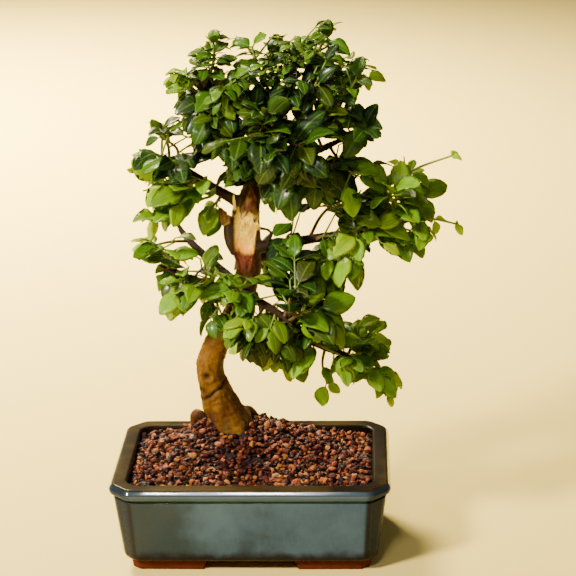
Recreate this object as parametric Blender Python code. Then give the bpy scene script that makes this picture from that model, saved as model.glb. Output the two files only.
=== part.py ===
"""A privet bonsai in a glazed pot with canted corners.

The tree is one grown piece: roots, trunk with an old cut, and branches. Leafy sprays are seated
on its branches. It stands in a block of gravel soil, which fills the pot over two drainage
screens. Lengths are metres, +Z is up, and the front of the pot faces -Y.
"""

import math
from typing import NamedTuple

import bmesh
import bpy
import numpy as np
from mathutils import Matrix, Vector
from mathutils.bvhtree import BVHTree

# The pot stands off the origin, so that the whole plant is centred over it.
POT_PLACE = (-0.031, -0.010, 0.0)

GAP = 0.0003

POT_LENGTH = 0.205
POT_DEPTH = 0.140
POT_HEIGHT = 0.070
CORNER_CUT = 0.013
CORNER_SOFTENING = 0.0025
FOOT_HEIGHT = 0.010
FOOT_LENGTH = 0.050
FOOT_DEPTH = 0.030
FOOT_SET_BACK = 0.0012
FOOT_TAPER = 0.0010
FLOOR_TOP = 0.017
BASE_INSET = 0.008
BASE_EASE = 0.0016
PANEL_TOP = 0.0588
PANEL_INSET = 0.0030
GROOVE_INSET = 0.0042
GROOVE_LIP = 0.0006
BAND_BOTTOM = 0.0612
BAND_LIP = 0.0008
BAND_FOOT_INSET = 0.0010
RIM_EASE_INSET = 0.0006
RIM_EASE_DROP = 0.0012
RIM_OUTER_INSET = 0.0018
RIM_INNER_INSET = 0.0105
WALL_TOP_INSET = 0.0118
WALL_TOP_DROP = 0.0014
WALL_FOOT_INSET = 0.0150
DRAIN_RADIUS = 0.006
DRAIN_SIDES = 12
DRAIN_SPACING = 0.090

# How far a cutter runs past what it cuts.
PAST = 0.010

SCREEN_SIDE = 0.026
SCREEN_THICKNESS = 0.0012
SCREEN_CELLS = 3
SCREEN_OPENING = 0.64

SOIL_EDGE = 0.0665
MOUND_HEIGHT = 0.022
MOUND_CENTRE = (-0.008, 0.018)
MOUND_REACH = (0.058, 0.042)
STONE_PITCH = 0.0086
STONE_RELIEF = 0.0015
STONE_SHIFT = 0.3
STONE_SEED = 41

TRUNK_SIDES = 3
BRANCH_SIDES = 1
TWIG_SIDES = 0
ROOT_CLEARANCE = 0.0004
ROOTS_UNDER = 0.11


class Station(NamedTuple):
    """One place on the middle line of a stem, with the stem's radius there."""

    x: float
    y: float
    z: float
    radius: float


TRUNK = (
    Station(-0.012, 0.016, 0.056, 0.0105),
    Station(-0.013, 0.016, 0.074, 0.0152),
    Station(-0.015, 0.016, 0.086, 0.0155),
    Station(-0.019, 0.015, 0.097, 0.0143),
    Station(-0.025, 0.014, 0.109, 0.0138),
    Station(-0.030, 0.013, 0.124, 0.0116),
    Station(-0.032, 0.012, 0.140, 0.0102),
    Station(-0.027, 0.012, 0.154, 0.0098),
    Station(-0.018, 0.012, 0.168, 0.0096),
    Station(-0.009, 0.012, 0.189, 0.0100),
    Station(-0.005, 0.012, 0.213, 0.0112),
    Station(-0.004, 0.012, 0.236, 0.0120),
    Station(-0.002, 0.014, 0.256, 0.0102),
    Station(0.003, 0.015, 0.276, 0.0076),
    Station(0.012, 0.010, 0.306, 0.0058),
    Station(0.024, 0.005, 0.336, 0.0044),
    Station(0.034, 0.002, 0.360, 0.0030),
)

# What grows from the trunk without leaves of its own: roots, the stub and spike of the old cut.
ROOTS_AND_STUBS = {
    "left_root": (
        Station(-0.020, 0.017, 0.098, 0.0075),
        Station(-0.034, 0.021, 0.095, 0.0068),
        Station(-0.043, 0.025, 0.088, 0.0058),
        Station(-0.048, 0.028, 0.072, 0.0040),
    ),
    "right_root": (
        Station(-0.010, 0.020, 0.095, 0.0080),
        Station(0.002, 0.030, 0.091, 0.0062),
        Station(0.013, 0.036, 0.082, 0.0050),
        Station(0.020, 0.040, 0.070, 0.0036),
    ),
    "front_root": (
        Station(-0.016, 0.012, 0.096, 0.0100),
        Station(-0.011, 0.004, 0.089, 0.0088),
        Station(-0.006, -0.003, 0.079, 0.0066),
        Station(-0.003, -0.006, 0.068, 0.0044),
    ),
    "cut_spike": (
        Station(-0.004, 0.009, 0.246, 0.0090),
        Station(-0.002, 0.003, 0.262, 0.0066),
        Station(-0.001, 0.000, 0.272, 0.0040),
        Station(0.001, -0.001, 0.280, 0.0012),
    ),
    "cut_stub": (
        Station(-0.008, 0.011, 0.246, 0.0058),
        Station(-0.017, 0.007, 0.255, 0.0046),
        Station(-0.022, 0.005, 0.262, 0.0034),
    ),
}

BRANCHES = {
    "left_low": (
        Station(-0.010, 0.012, 0.188, 0.0062),
        Station(-0.028, 0.006, 0.199, 0.0046),
        Station(-0.048, 0.002, 0.212, 0.0036),
        Station(-0.066, -0.002, 0.222, 0.0026),
    ),
    "left_back": (
        Station(-0.008, 0.012, 0.200, 0.0058),
        Station(-0.030, 0.032, 0.214, 0.0042),
        Station(-0.050, 0.050, 0.228, 0.0032),
        Station(-0.060, 0.062, 0.240, 0.0024),
    ),
    "right_low": (
        Station(-0.014, 0.012, 0.176, 0.0064),
        Station(0.008, -0.002, 0.176, 0.0052),
        Station(0.034, -0.010, 0.170, 0.0042),
        Station(0.060, -0.014, 0.160, 0.0034),
        Station(0.084, -0.014, 0.150, 0.0024),
    ),
    "front_low": (
        Station(-0.008, 0.010, 0.197, 0.0056),
        Station(0.006, -0.016, 0.199, 0.0042),
        Station(0.022, -0.040, 0.198, 0.0034),
        Station(0.034, -0.058, 0.194, 0.0024),
    ),
    "back_low": (
        Station(-0.005, 0.014, 0.206, 0.0058),
        Station(0.002, 0.036, 0.216, 0.0044),
        Station(0.010, 0.058, 0.222, 0.0034),
        Station(0.016, 0.076, 0.226, 0.0024),
    ),
    "right_back": (
        Station(-0.004, 0.014, 0.222, 0.0060),
        Station(0.026, 0.030, 0.220, 0.0044),
        Station(0.054, 0.044, 0.214, 0.0034),
        Station(0.078, 0.054, 0.208, 0.0024),
    ),
    "right_middle": (
        Station(-0.003, 0.012, 0.230, 0.0064),
        Station(0.022, 0.004, 0.236, 0.0050),
        Station(0.052, 0.000, 0.242, 0.0042),
        Station(0.084, -0.002, 0.248, 0.0034),
        Station(0.112, -0.004, 0.254, 0.0024),
    ),
    "left_middle": (
        Station(-0.001, 0.014, 0.262, 0.0060),
        Station(-0.024, 0.008, 0.278, 0.0044),
        Station(-0.045, 0.002, 0.294, 0.0034),
        Station(-0.061, -0.002, 0.304, 0.0024),
    ),
    "back_middle": (
        Station(0.004, 0.015, 0.280, 0.0052),
        Station(0.004, 0.034, 0.294, 0.0040),
        Station(0.004, 0.054, 0.304, 0.0032),
        Station(0.002, 0.070, 0.308, 0.0024),
    ),
    "right_upper": (
        Station(0.006, 0.013, 0.288, 0.0054),
        Station(0.028, 0.006, 0.298, 0.0042),
        Station(0.052, 0.000, 0.308, 0.0034),
        Station(0.076, -0.004, 0.320, 0.0024),
    ),
    "front_upper": (
        Station(0.010, 0.011, 0.300, 0.0048),
        Station(0.018, -0.012, 0.310, 0.0038),
        Station(0.024, -0.034, 0.316, 0.0030),
        Station(0.028, -0.052, 0.318, 0.0022),
    ),
    "left_upper": (
        Station(0.013, 0.010, 0.308, 0.0046),
        Station(-0.006, 0.004, 0.330, 0.0036),
        Station(-0.022, 0.000, 0.348, 0.0028),
        Station(-0.034, -0.002, 0.360, 0.0022),
    ),
    "right_top": (
        Station(0.022, 0.006, 0.330, 0.0040),
        Station(0.040, 0.010, 0.346, 0.0032),
        Station(0.058, 0.012, 0.358, 0.0024),
    ),
}

# Where on a branch the first seat lies, as a share of its length, and on the trunk's top.
SEAT_SPACING = 0.0055
SEAT_FROM = 0.30
TRUNK_SEAT_FROM = 0.1
TRUNK_SEAT_STATIONS = 4


class Spray(NamedTuple):
    """A leafy stem: where its furthest leaf reaches, its pairs, their length and their age."""

    name: str
    reach: tuple
    pairs: int
    leaf: float
    age: str


SPRAYS = (
    Spray("top_left_edge", (-0.016, 0.000, 0.406), 4, 0.024, "grown"),
    Spray("top_left_shoulder", (-0.042, 0.020, 0.376), 4, 0.026, "old"),
    Spray("left_shoulder", (-0.058, 0.012, 0.364), 4, 0.024, "young"),
    Spray("left_upper_edge", (-0.072, -0.005, 0.340), 4, 0.028, "old"),
    Spray("left_upper_back", (-0.066, 0.044, 0.326), 4, 0.027, "old"),
    Spray("left_yellow_edge", (-0.084, 0.014, 0.302), 4, 0.025, "young"),
    Spray("left_low_edge", (-0.083, -0.012, 0.286), 4, 0.026, "young"),
    Spray("top_middle", (0.041, -0.008, 0.405), 4, 0.024, "grown"),
    Spray("top_back", (0.018, 0.042, 0.388), 4, 0.025, "grown"),
    Spray("top_right_stem", (0.071, 0.018, 0.398), 3, 0.023, "young"),
    Spray("top_right_edge", (0.085, -0.014, 0.382), 4, 0.025, "grown"),
    Spray("right_shoulder", (0.107, 0.020, 0.357), 4, 0.024, "young"),
    Spray("right_upper_edge", (0.103, -0.010, 0.338), 4, 0.026, "old"),
    Spray("right_upper_back", (0.090, 0.048, 0.318), 4, 0.027, "old"),
    Spray("right_top_edge", (0.118, -0.014, 0.298), 4, 0.027, "grown"),
    Spray("right_long_edge", (0.146, 0.012, 0.278), 4, 0.026, "grown"),
    Spray("far_right_twig", (0.162, 0.006, 0.314), 3, 0.019, "young"),
    Spray("far_right_low_twig", (0.168, -0.004, 0.253), 3, 0.019, "young"),
    Spray("right_low_edge", (0.133, 0.012, 0.244), 4, 0.027, "grown"),
    Spray("right_low_front", (0.106, -0.036, 0.262), 4, 0.028, "young"),
    Spray("right_low_back", (0.104, 0.046, 0.238), 4, 0.027, "grown"),
    Spray("left_big_front", (-0.050, -0.038, 0.282), 4, 0.030, "grown"),
    Spray("left_narrow_edge", (-0.080, -0.016, 0.252), 4, 0.024, "young"),
    Spray("left_twig", (-0.088, 0.006, 0.232), 4, 0.022, "grown"),
    Spray("left_dark_low", (-0.058, -0.014, 0.196), 4, 0.030, "old"),
    Spray("left_back_low", (-0.070, 0.056, 0.224), 4, 0.027, "grown"),
    Spray("low_left_tail", (-0.048, 0.016, 0.170), 4, 0.026, "grown"),
    Spray("front_left_low", (-0.022, -0.044, 0.222), 4, 0.028, "grown"),
    Spray("trunk_front", (-0.014, -0.036, 0.180), 4, 0.027, "grown"),
    Spray("front_low", (0.010, -0.056, 0.206), 4, 0.028, "grown"),
    Spray("low_inner", (0.010, -0.022, 0.150), 4, 0.026, "young"),
    Spray("low_middle", (0.036, -0.012, 0.129), 4, 0.025, "young"),
    Spray("low_hanging", (0.058, -0.030, 0.117), 4, 0.025, "young"),
    Spray("low_right_tail", (0.112, -0.020, 0.108), 4, 0.024, "young"),
    Spray("low_right_edge", (0.117, 0.006, 0.129), 4, 0.024, "young"),
    Spray("low_right_front", (0.086, -0.036, 0.154), 4, 0.028, "young"),
    Spray("low_right_shoulder", (0.106, 0.014, 0.173), 4, 0.029, "young"),
    Spray("low_front_right", (0.074, -0.050, 0.212), 4, 0.029, "grown"),
    Spray("front_low_right", (0.046, -0.058, 0.242), 4, 0.028, "old"),
    Spray("front_top_left", (0.002, -0.045, 0.374), 4, 0.027, "grown"),
    Spray("front_top_right", (0.066, -0.050, 0.368), 4, 0.027, "old"),
    Spray("front_upper_left", (-0.026, -0.048, 0.340), 4, 0.028, "old"),
    Spray("front_upper_middle", (0.014, -0.072, 0.344), 4, 0.028, "old"),
    Spray("front_upper_right", (0.060, -0.066, 0.332), 4, 0.028, "old"),
    Spray("front_middle_left", (-0.030, -0.044, 0.308), 4, 0.028, "old"),
    Spray("front_middle", (0.031, -0.072, 0.305), 4, 0.028, "old"),
    Spray("front_middle_right", (0.058, -0.040, 0.284), 4, 0.028, "old"),
    Spray("beside_cut", (0.034, -0.034, 0.262), 4, 0.027, "old"),
    Spray("middle_right_front", (0.078, -0.036, 0.256), 4, 0.028, "grown"),
    Spray("back_upper_left", (-0.024, 0.064, 0.354), 4, 0.027, "old"),
    Spray("back_upper_right", (0.054, 0.066, 0.352), 4, 0.027, "old"),
    Spray("back_middle_left", (-0.036, 0.084, 0.296), 4, 0.028, "old"),
    Spray("back_middle_right", (0.046, 0.092, 0.292), 4, 0.028, "old"),
    Spray("back_low_middle", (0.002, 0.088, 0.200), 4, 0.028, "grown"),
    Spray("back_low_right", (0.076, 0.082, 0.206), 4, 0.028, "grown"),
)

PAIR_SHARES = {3: (0.30, 0.64, 0.97), 4: (0.26, 0.50, 0.74, 0.97)}
TWIG_SHARES = (0.0, 0.38, 0.62, 1.0)
TWIG_ROOT_RADIUS = 0.0013
TWIG_TIP_RADIUS = 0.0009
USUAL_RUN = 0.046
ONWARD = 0.006
TWIG_BEND = 0.42
TWIG_LIFT = 0.10
TWIG_CHECKS = 12
REACH_OF_LEAF = 0.80
LEAF_TRIES = 24
TRY_SPREAD = (0.8, 2.4)
LEAF_CLEARANCE = 0.0004

LEAF_SEED = 700
PAIR_TURNS = (0.20, 1.10)
TURN_SPREAD = 0.2
SIZE_AT_FOOT = 1.10
SIZE_LOSS = 0.24
SIZE_SPREAD = 0.12

PETIOLE = 0.17
PETIOLE_WIDTH = 0.0009
BLADE_FOOT = 0.03
LEAF_WIDTH = 0.70
LEAF_ARCH = 0.70
KEEL = 0.0011

# Places along the blade, its foot at 0 and its tip at 1, and the share of the full width there.
BLADE_STATIONS = ((0.28, 1.00), (0.66, 0.76))

# Upper faces turn to the light: up and to the front, or to the back behind the trunk.
LIGHT_FRONT = (0.0, -0.50, 0.80)
LIGHT_BACK = (0.0, 0.40, 0.85)
BACK_FROM = 0.030
FORWARD = (0.40, 1.30)
SWING = 0.35
DROOP = 0.22
LIFT = 0.34
ROLL = 0.40

# No leaf hangs before the old cut, seen from in front and a little above.
SIGHT_X = (-0.021, 0.010)
SIGHT_Z = (0.212, 0.276)
SIGHT_RISE = 0.31
SIGHT_DRIFT = 0.04
SIGHT_NEAR = 0.008
CUT_STATION = 11


def clear_scene():
    """Removes whatever objects the scene holds."""
    for thing in list(bpy.data.objects):
        bpy.data.objects.remove(thing, do_unlink=True)


def new_collection(name):
    """A new collection linked to the scene."""
    group = bpy.data.collections.new(name)
    bpy.context.scene.collection.children.link(group)
    return group


def principled(name, color, roughness, coat=0.0):
    """A plain surface with a colour, a roughness and perhaps a clear coat."""
    material = bpy.data.materials.new(name)
    material.use_nodes = True
    shader = material.node_tree.nodes["Principled BSDF"]
    shader.inputs["Base Color"].default_value = (*color, 1.0)
    shader.inputs["Roughness"].default_value = roughness
    shader.inputs["Metallic"].default_value = 0.0
    shader.inputs["Coat Weight"].default_value = coat
    material.diffuse_color = (*color, 1.0)
    return material


def mesh_object(name, vertices, faces, group):
    """An object in a collection, from vertices and faces."""
    mesh = bpy.data.meshes.new(name)
    mesh.from_pydata([tuple(v) for v in vertices], [], faces)
    mesh.update()
    thing = bpy.data.objects.new(name, mesh)
    group.objects.link(thing)
    return thing


def finish(thing, material, holder):
    """Gives a piece its material and hangs it on the plant's empty."""
    thing.data.materials.clear()
    thing.data.materials.append(material)
    thing.parent = holder


def apply_boolean(thing, operation, solver, cutter=None, group=None):
    """Cuts or joins a piece with one object or with a collection, and bakes the result."""
    modifier = thing.modifiers.new("join", "BOOLEAN")
    modifier.operation = operation
    modifier.solver = solver
    if group is None:
        modifier.object = cutter
    else:
        modifier.operand_type = "COLLECTION"
        modifier.collection = group
    bpy.context.view_layer.update()
    evaluated = thing.evaluated_get(bpy.context.evaluated_depsgraph_get())
    mesh = bpy.data.meshes.new_from_object(evaluated)
    thing.modifiers.clear()
    thing.data = mesh


def drop(things):
    """Removes helper objects that have done their work."""
    for thing in list(things):
        bpy.data.objects.remove(thing, do_unlink=True)


def box(name, low, high, group):
    """A plain box between two corners."""
    centre = [(a + b) / 2 for a, b in zip(low, high)]
    size = [b - a for a, b in zip(low, high)]
    mesh = bpy.data.meshes.new(name)
    work = bmesh.new()
    placed = Matrix.Translation(centre) @ Matrix.Diagonal((*size, 1.0))
    bmesh.ops.create_cube(work, size=1.0, matrix=placed)
    work.to_mesh(mesh)
    work.free()
    thing = bpy.data.objects.new(name, mesh)
    group.objects.link(thing)
    return thing


def hide_helper(thing):
    """Marks an object as a cutter."""
    thing.hide_render = True
    thing.display_type = "WIRE"


def tube(name, stations, resolution, group, grow=0.0):
    """A closed tube along stations, of the radius that each one gives."""
    curve = bpy.data.curves.new(name, "CURVE")
    curve.dimensions = "3D"
    curve.bevel_depth = 1.0
    curve.bevel_resolution = resolution
    curve.use_fill_caps = True
    line = curve.splines.new("POLY")
    line.points.add(len(stations) - 1)
    for point, station in zip(line.points, stations):
        point.co = (station.x, station.y, station.z, 1.0)
        point.radius = station.radius + grow
    drawn = bpy.data.objects.new(name + "_line", curve)
    group.objects.link(drawn)
    bpy.context.view_layer.update()
    evaluated = drawn.evaluated_get(bpy.context.evaluated_depsgraph_get())
    mesh = bpy.data.meshes.new_from_object(evaluated)
    work = bmesh.new()
    work.from_mesh(mesh)
    bmesh.ops.remove_doubles(work, verts=work.verts, dist=0.00001)
    bmesh.ops.recalc_face_normals(work, faces=work.faces)
    work.to_mesh(mesh)
    work.free()
    mesh.name = name
    solid = bpy.data.objects.new(name, mesh)
    solid.matrix_world = drawn.matrix_world
    group.objects.link(solid)
    bpy.data.objects.remove(drawn, do_unlink=True)
    return solid


def canted_outline(inset):
    """A rectangle with cut, softened corners, drawn in from the pot's outline."""
    half_x = POT_LENGTH / 2 - inset
    half_y = POT_DEPTH / 2 - inset
    cut = CORNER_CUT - inset * (2 - math.sqrt(2))
    sharp = []
    for sign_x, sign_y in ((1, 1), (-1, 1), (-1, -1), (1, -1)):
        corner = [
            (sign_x * half_x, sign_y * (half_y - cut)),
            (sign_x * (half_x - cut), sign_y * half_y),
        ]
        sharp += corner if sign_x * sign_y > 0 else corner[::-1]
    soft = []
    for place, here in enumerate(sharp):
        here = Vector(here)
        before = Vector(sharp[place - 1])
        after = Vector(sharp[(place + 1) % len(sharp)])
        for other in (before, after):
            reach = min(CORNER_SOFTENING, 0.4 * (other - here).length)
            soft.append(here + (other - here).normalized() * reach)
    return soft


def stacked(name, profile, group):
    """A closed solid: the canted outline at each inset and height, bottom to top and on."""
    vertices = []
    for inset, height in profile:
        vertices += [(p.x, p.y, height) for p in canted_outline(inset)]
    count = len(canted_outline(0.0))
    faces = [list(range(count))[::-1]]
    for level in range(len(profile) - 1):
        low, high = level * count, (level + 1) * count
        for k in range(count):
            after = (k + 1) % count
            faces.append([low + k, low + after, high + after, high + k])
    last = (len(profile) - 1) * count
    faces.append([last + k for k in range(count)])
    return mesh_object(name, vertices, faces, group)


def build_pot(parts, cutters):
    """The pot: feet, tapered panel, groove, banded rim, inner wall and drainage holes."""
    foot_inset = BASE_INSET + FOOT_SET_BACK
    profile = (
        (foot_inset + FOOT_TAPER, 0.0),
        (foot_inset, FOOT_HEIGHT),
        (BASE_INSET, FOOT_HEIGHT + BASE_EASE),
        (PANEL_INSET, PANEL_TOP),
        (GROOVE_INSET, PANEL_TOP + GROOVE_LIP),
        (GROOVE_INSET, BAND_BOTTOM),
        (BAND_FOOT_INSET, BAND_BOTTOM + BAND_LIP),
        (0.0, (BAND_BOTTOM + POT_HEIGHT) / 2),
        (RIM_EASE_INSET, POT_HEIGHT - RIM_EASE_DROP),
        (RIM_OUTER_INSET, POT_HEIGHT),
        (RIM_INNER_INSET, POT_HEIGHT),
        (WALL_TOP_INSET, POT_HEIGHT - WALL_TOP_DROP),
        (WALL_FOOT_INSET, FLOOR_TOP),
    )
    pot = stacked("pot", profile, parts)
    between_x = POT_LENGTH / 2 - foot_inset - FOOT_LENGTH
    between_y = POT_DEPTH / 2 - foot_inset - FOOT_DEPTH
    spans = {
        "gap_between_ends": (between_x, POT_DEPTH / 2 + PAST),
        "gap_between_sides": (POT_LENGTH / 2 + PAST, between_y),
    }
    gaps = [
        box(name, (-x, -y, -PAST), (x, y, FOOT_HEIGHT), cutters) for name, (x, y) in spans.items()
    ]
    for side in (-1, 1):
        work = bmesh.new()
        bmesh.ops.create_cone(
            work,
            cap_ends=True,
            segments=DRAIN_SIDES,
            radius1=DRAIN_RADIUS,
            radius2=DRAIN_RADIUS,
            depth=2 * (FLOOR_TOP + PAST),
            matrix=Matrix.Translation((side * DRAIN_SPACING / 2, 0.0, 0.0)),
        )
        mesh = bpy.data.meshes.new("drain")
        work.to_mesh(mesh)
        work.free()
        drain = bpy.data.objects.new("drain", mesh)
        cutters.objects.link(drain)
        gaps.append(drain)
    for gap in gaps:
        hide_helper(gap)
        apply_boolean(pot, "DIFFERENCE", "EXACT", cutter=gap)
    drop(gaps)
    return pot


def build_screen(name, side, parts, cutters):
    """A drainage screen: a thin square plate with rows of square openings."""
    centre = side * DRAIN_SPACING / 2
    low = FLOOR_TOP + GAP
    half = SCREEN_SIDE / 2
    top = low + SCREEN_THICKNESS
    screen = box(name, (centre - half, -half, low), (centre + half, half, top), parts)
    pitch = SCREEN_SIDE / (SCREEN_CELLS + 0.5)
    opening = SCREEN_OPENING * pitch / 2
    holes = bpy.data.collections.new("screen_openings")
    bpy.context.scene.collection.children.link(holes)
    for row in range(SCREEN_CELLS):
        for column in range(SCREEN_CELLS):
            x = centre + (column - (SCREEN_CELLS - 1) / 2) * pitch
            y = (row - (SCREEN_CELLS - 1) / 2) * pitch
            hide_helper(
                box(
                    "opening",
                    (x - opening, y - opening, low - PAST),
                    (x + opening, y + opening, top + PAST),
                    holes,
                )
            )
    apply_boolean(screen, "DIFFERENCE", "EXACT", group=holes)
    drop(holes.objects)
    bpy.data.collections.remove(holes)
    return screen


def soil_height(x, y):
    """The gravel's mean height: level at the rim and mounded up round the trunk."""
    across = ((x - MOUND_CENTRE[0]) / MOUND_REACH[0]) ** 2
    along = ((y - MOUND_CENTRE[1]) / MOUND_REACH[1]) ** 2
    return SOIL_EDGE + MOUND_HEIGHT * math.exp(-(across + along))


def gravel_block(group):
    """A block whose top is a net of stones, each a peak, a hollow or a shelf."""
    draw = np.random.default_rng(STONE_SEED)
    length = POT_LENGTH - 2 * WALL_TOP_INSET + PAST
    depth = POT_DEPTH - 2 * WALL_TOP_INSET + PAST
    columns = round(length / STONE_PITCH)
    rows = round(depth / STONE_PITCH)
    work = bmesh.new()
    bmesh.ops.create_grid(work, x_segments=columns, y_segments=rows, size=0.5)
    bottom = FLOOR_TOP - PAST
    for vertex in work.verts:
        inner = not vertex.is_boundary
        shift = draw.uniform(-STONE_SHIFT, STONE_SHIFT, 2) * STONE_PITCH * inner
        x = vertex.co.x * length + shift[0]
        y = vertex.co.y * depth + shift[1]
        vertex.co = (x, y, soil_height(x, y) + draw.uniform(-1.0, 1.0) * STONE_RELIEF)
    bmesh.ops.triangulate(work, faces=work.faces[:])
    raised = bmesh.ops.extrude_face_region(work, geom=work.faces[:])["geom"]
    lowered = [item for item in raised if isinstance(item, bmesh.types.BMVert)]
    for vertex in lowered:
        vertex.co.z = bottom
    inside = [face for face in work.faces if all(v.co.z == bottom for v in face.verts)]
    bmesh.ops.dissolve_faces(work, faces=inside)
    bmesh.ops.recalc_face_normals(work, faces=work.faces)
    mesh = bpy.data.meshes.new("soil")
    work.to_mesh(mesh)
    work.free()
    block = bpy.data.objects.new("soil", mesh)
    group.objects.link(block)
    return block


def build_soil(parts, cutters):
    """The gravel soil: it fills the pot, over the screens and round the roots."""
    soil = gravel_block(parts)
    slope = (WALL_FOOT_INSET - WALL_TOP_INSET) / (POT_HEIGHT - WALL_TOP_DROP - FLOOR_TOP)
    top = SOIL_EDGE + MOUND_HEIGHT + PAST
    top_inset = WALL_FOOT_INSET - slope * (top - FLOOR_TOP)
    cavity = stacked(
        "cavity",
        ((WALL_FOOT_INSET + GAP, FLOOR_TOP + GAP), (top_inset + GAP, top)),
        cutters,
    )
    hide_helper(cavity)
    apply_boolean(soil, "INTERSECT", "EXACT", cutter=cavity)
    holes = [cavity]
    half = SCREEN_SIDE / 2 + GAP
    for side in (-1, 1):
        centre = side * DRAIN_SPACING / 2
        recess_top = FLOOR_TOP + SCREEN_THICKNESS + 2 * GAP
        low = (centre - half, -half, FLOOR_TOP - PAST)
        holes.append(box("recess", low, (centre + half, half, recess_top), cutters))
    holes.append(root_hole(cutters))
    for hole in holes[1:]:
        hide_helper(hole)
        apply_boolean(soil, "DIFFERENCE", "EXACT", cutter=hole)
    drop(holes)
    return soil


def root_hole(cutters):
    """The shape of the roots and the trunk's foot, a little larger all round."""
    group = new_collection("root_hole_parts")
    foot = [s for s in TRUNK if s.z < ROOTS_UNDER]
    foot[0] = foot[0]._replace(z=foot[0].z - ROOT_CLEARANCE)
    hole = tube("root_hole", foot, TRUNK_SIDES, cutters, ROOT_CLEARANCE)
    for name in ("left_root", "right_root", "front_root"):
        line = list(ROOTS_AND_STUBS[name])
        end = Vector(line[-1][:3])
        onward = (end - Vector(line[-2][:3])).normalized() * ROOT_CLEARANCE
        line[-1] = Station(*(end + onward), line[-1].radius)
        tube(name + "_hole", line, BRANCH_SIDES, group, ROOT_CLEARANCE)
    apply_boolean(hole, "UNION", "EXACT", group=group)
    drop(group.objects)
    bpy.data.collections.remove(group)
    return hole


def build_tree(parts):
    """The tree without its leafy sprays: roots, trunk, old cut and branches in one piece."""
    tree = tube("tree", TRUNK, TRUNK_SIDES, parts)
    group = new_collection("limbs")
    for name, line in {**ROOTS_AND_STUBS, **BRANCHES}.items():
        tube(name, line, BRANCH_SIDES, group)
    apply_boolean(tree, "UNION", "EXACT", group=group)
    drop(group.objects)
    bpy.data.collections.remove(group)
    return tree


class Seat(NamedTuple):
    """A place on a branch where a spray can stand."""

    centre: Vector
    axis: Vector
    radius: float
    at_end: bool


def branch_seats():
    """Every place on the branches where a spray can stand, at even steps."""
    seats = []
    lines = [(line, SEAT_FROM) for line in BRANCHES.values()]
    lines.append((TRUNK[-TRUNK_SEAT_STATIONS:], TRUNK_SEAT_FROM))
    for line, first in lines:
        places = [Vector(s[:3]) for s in line]
        steps = [(b - a).length for a, b in zip(places, places[1:])]
        total = sum(steps)
        count = int(total * (1 - first) / SEAT_SPACING)
        for k in range(count + 1):
            along = total * (first + (1 - first) * k / count)
            part = 0
            while part < len(steps) - 1 and along > steps[part]:
                along -= steps[part]
                part += 1
            share = min(along / steps[part], 1.0)
            axis = (places[part + 1] - places[part]).normalized()
            centre = places[part].lerp(places[part + 1], share)
            radius = line[part].radius + share * (line[part + 1].radius - line[part].radius)
            seats.append(Seat(centre, axis, radius, k == count))
    return seats


def twig_line(spray, seat):
    """Stations of a twig: square off its seat, then over to where its last leaves begin."""
    reach = Vector(spray.reach)
    aim = reach - seat.centre
    tip = reach - aim.normalized() * REACH_OF_LEAF * spray.leaf
    if seat.at_end:
        out = seat.axis
        start = seat.centre + out * GAP
    else:
        out = (aim - seat.axis * aim.dot(seat.axis)).normalized()
        start = seat.centre + out * (seat.radius + GAP)
    run = (tip - start).length
    bend = start + out * TWIG_BEND * run + Vector((0.0, 0.0, TWIG_LIFT * run))
    stations = []
    for share in TWIG_SHARES:
        place = start.lerp(bend, share).lerp(bend.lerp(tip, share), share)
        radius = TWIG_ROOT_RADIUS + share * (TWIG_TIP_RADIUS - TWIG_ROOT_RADIUS)
        stations.append(Station(*place, radius))
    return stations


def along_twig(stations, share):
    """The place at a share of a twig, and the way the twig runs there."""
    part = 0
    while part < len(TWIG_SHARES) - 2 and share > TWIG_SHARES[part + 1]:
        part += 1
    low, high = Vector(stations[part][:3]), Vector(stations[part + 1][:3])
    within = (share - TWIG_SHARES[part]) / (TWIG_SHARES[part + 1] - TWIG_SHARES[part])
    return low.lerp(high, within), (high - low).normalized()


def leaf_mesh(length, grow=0.0, from_row=0):
    """A leaf on its petiole: an arching blade with a flat top and a keel, closed all round.

    The petiole's root is at the origin, +Y runs to the tip and +Z is the upper face.
    """
    petiole = PETIOLE * length
    foot = BLADE_FOOT * length
    rows = [(0.0, 0.0, PETIOLE_WIDTH / 2), (petiole + foot, 0.0, PETIOLE_WIDTH / 2)]
    for share, width in (*BLADE_STATIONS, (1.0, 0.0)):
        turn = LEAF_ARCH * share
        along = petiole + length * math.sin(turn) / LEAF_ARCH
        height = -length * (1 - math.cos(turn)) / LEAF_ARCH
        rows.append((along, height, width * LEAF_WIDTH * length / 2))
    tip = rows.pop()
    rows = rows[from_row:]
    vertices = []
    for along, height, half_width in rows:
        vertices.append((-half_width - grow, along, height + KEEL / 2 + grow))
        vertices.append((half_width + grow, along, height + KEEL / 2 + grow))
        vertices.append((0.0, along, height - KEEL / 2 - grow))
    vertices.append((0.0, tip[0] + grow, tip[1] + KEEL / 2))
    faces = [[0, 2, 1]]
    for row in range(len(rows) - 1):
        for a, b in ((0, 1), (2, 0), (1, 2)):
            low, high = 3 * row, 3 * row + 3
            faces.append([low + a, low + b, high + b])
            faces.append([low + a, high + b, high + a])
    last, point = 3 * (len(rows) - 1), 3 * len(rows)
    faces += [[last + a, last + b, point] for a, b in ((0, 1), (2, 0), (1, 2))]
    return np.array(vertices), faces


def leaf_frame(root, along, side, forward, light, draws):
    """Where a leaf stands: its root, the way it points and the way its upper face looks."""
    swing, lift, roll = draws
    out = (along * (forward + SWING * swing) + side).normalized()
    out = (out + Vector((0.0, 0.0, LIFT * lift - DROOP))).normalized()
    face = light + side * ROLL * roll
    face = (face - out * face.dot(out)).normalized()
    frame = Matrix((out.cross(face), out, face)).transposed().to_4x4()
    frame.translation = root
    return frame


def moved(vertices, frame):
    """Vertices carried by a frame."""
    turn = np.array(frame.to_3x3())
    return vertices @ turn.T + np.array(frame.translation)


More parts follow.
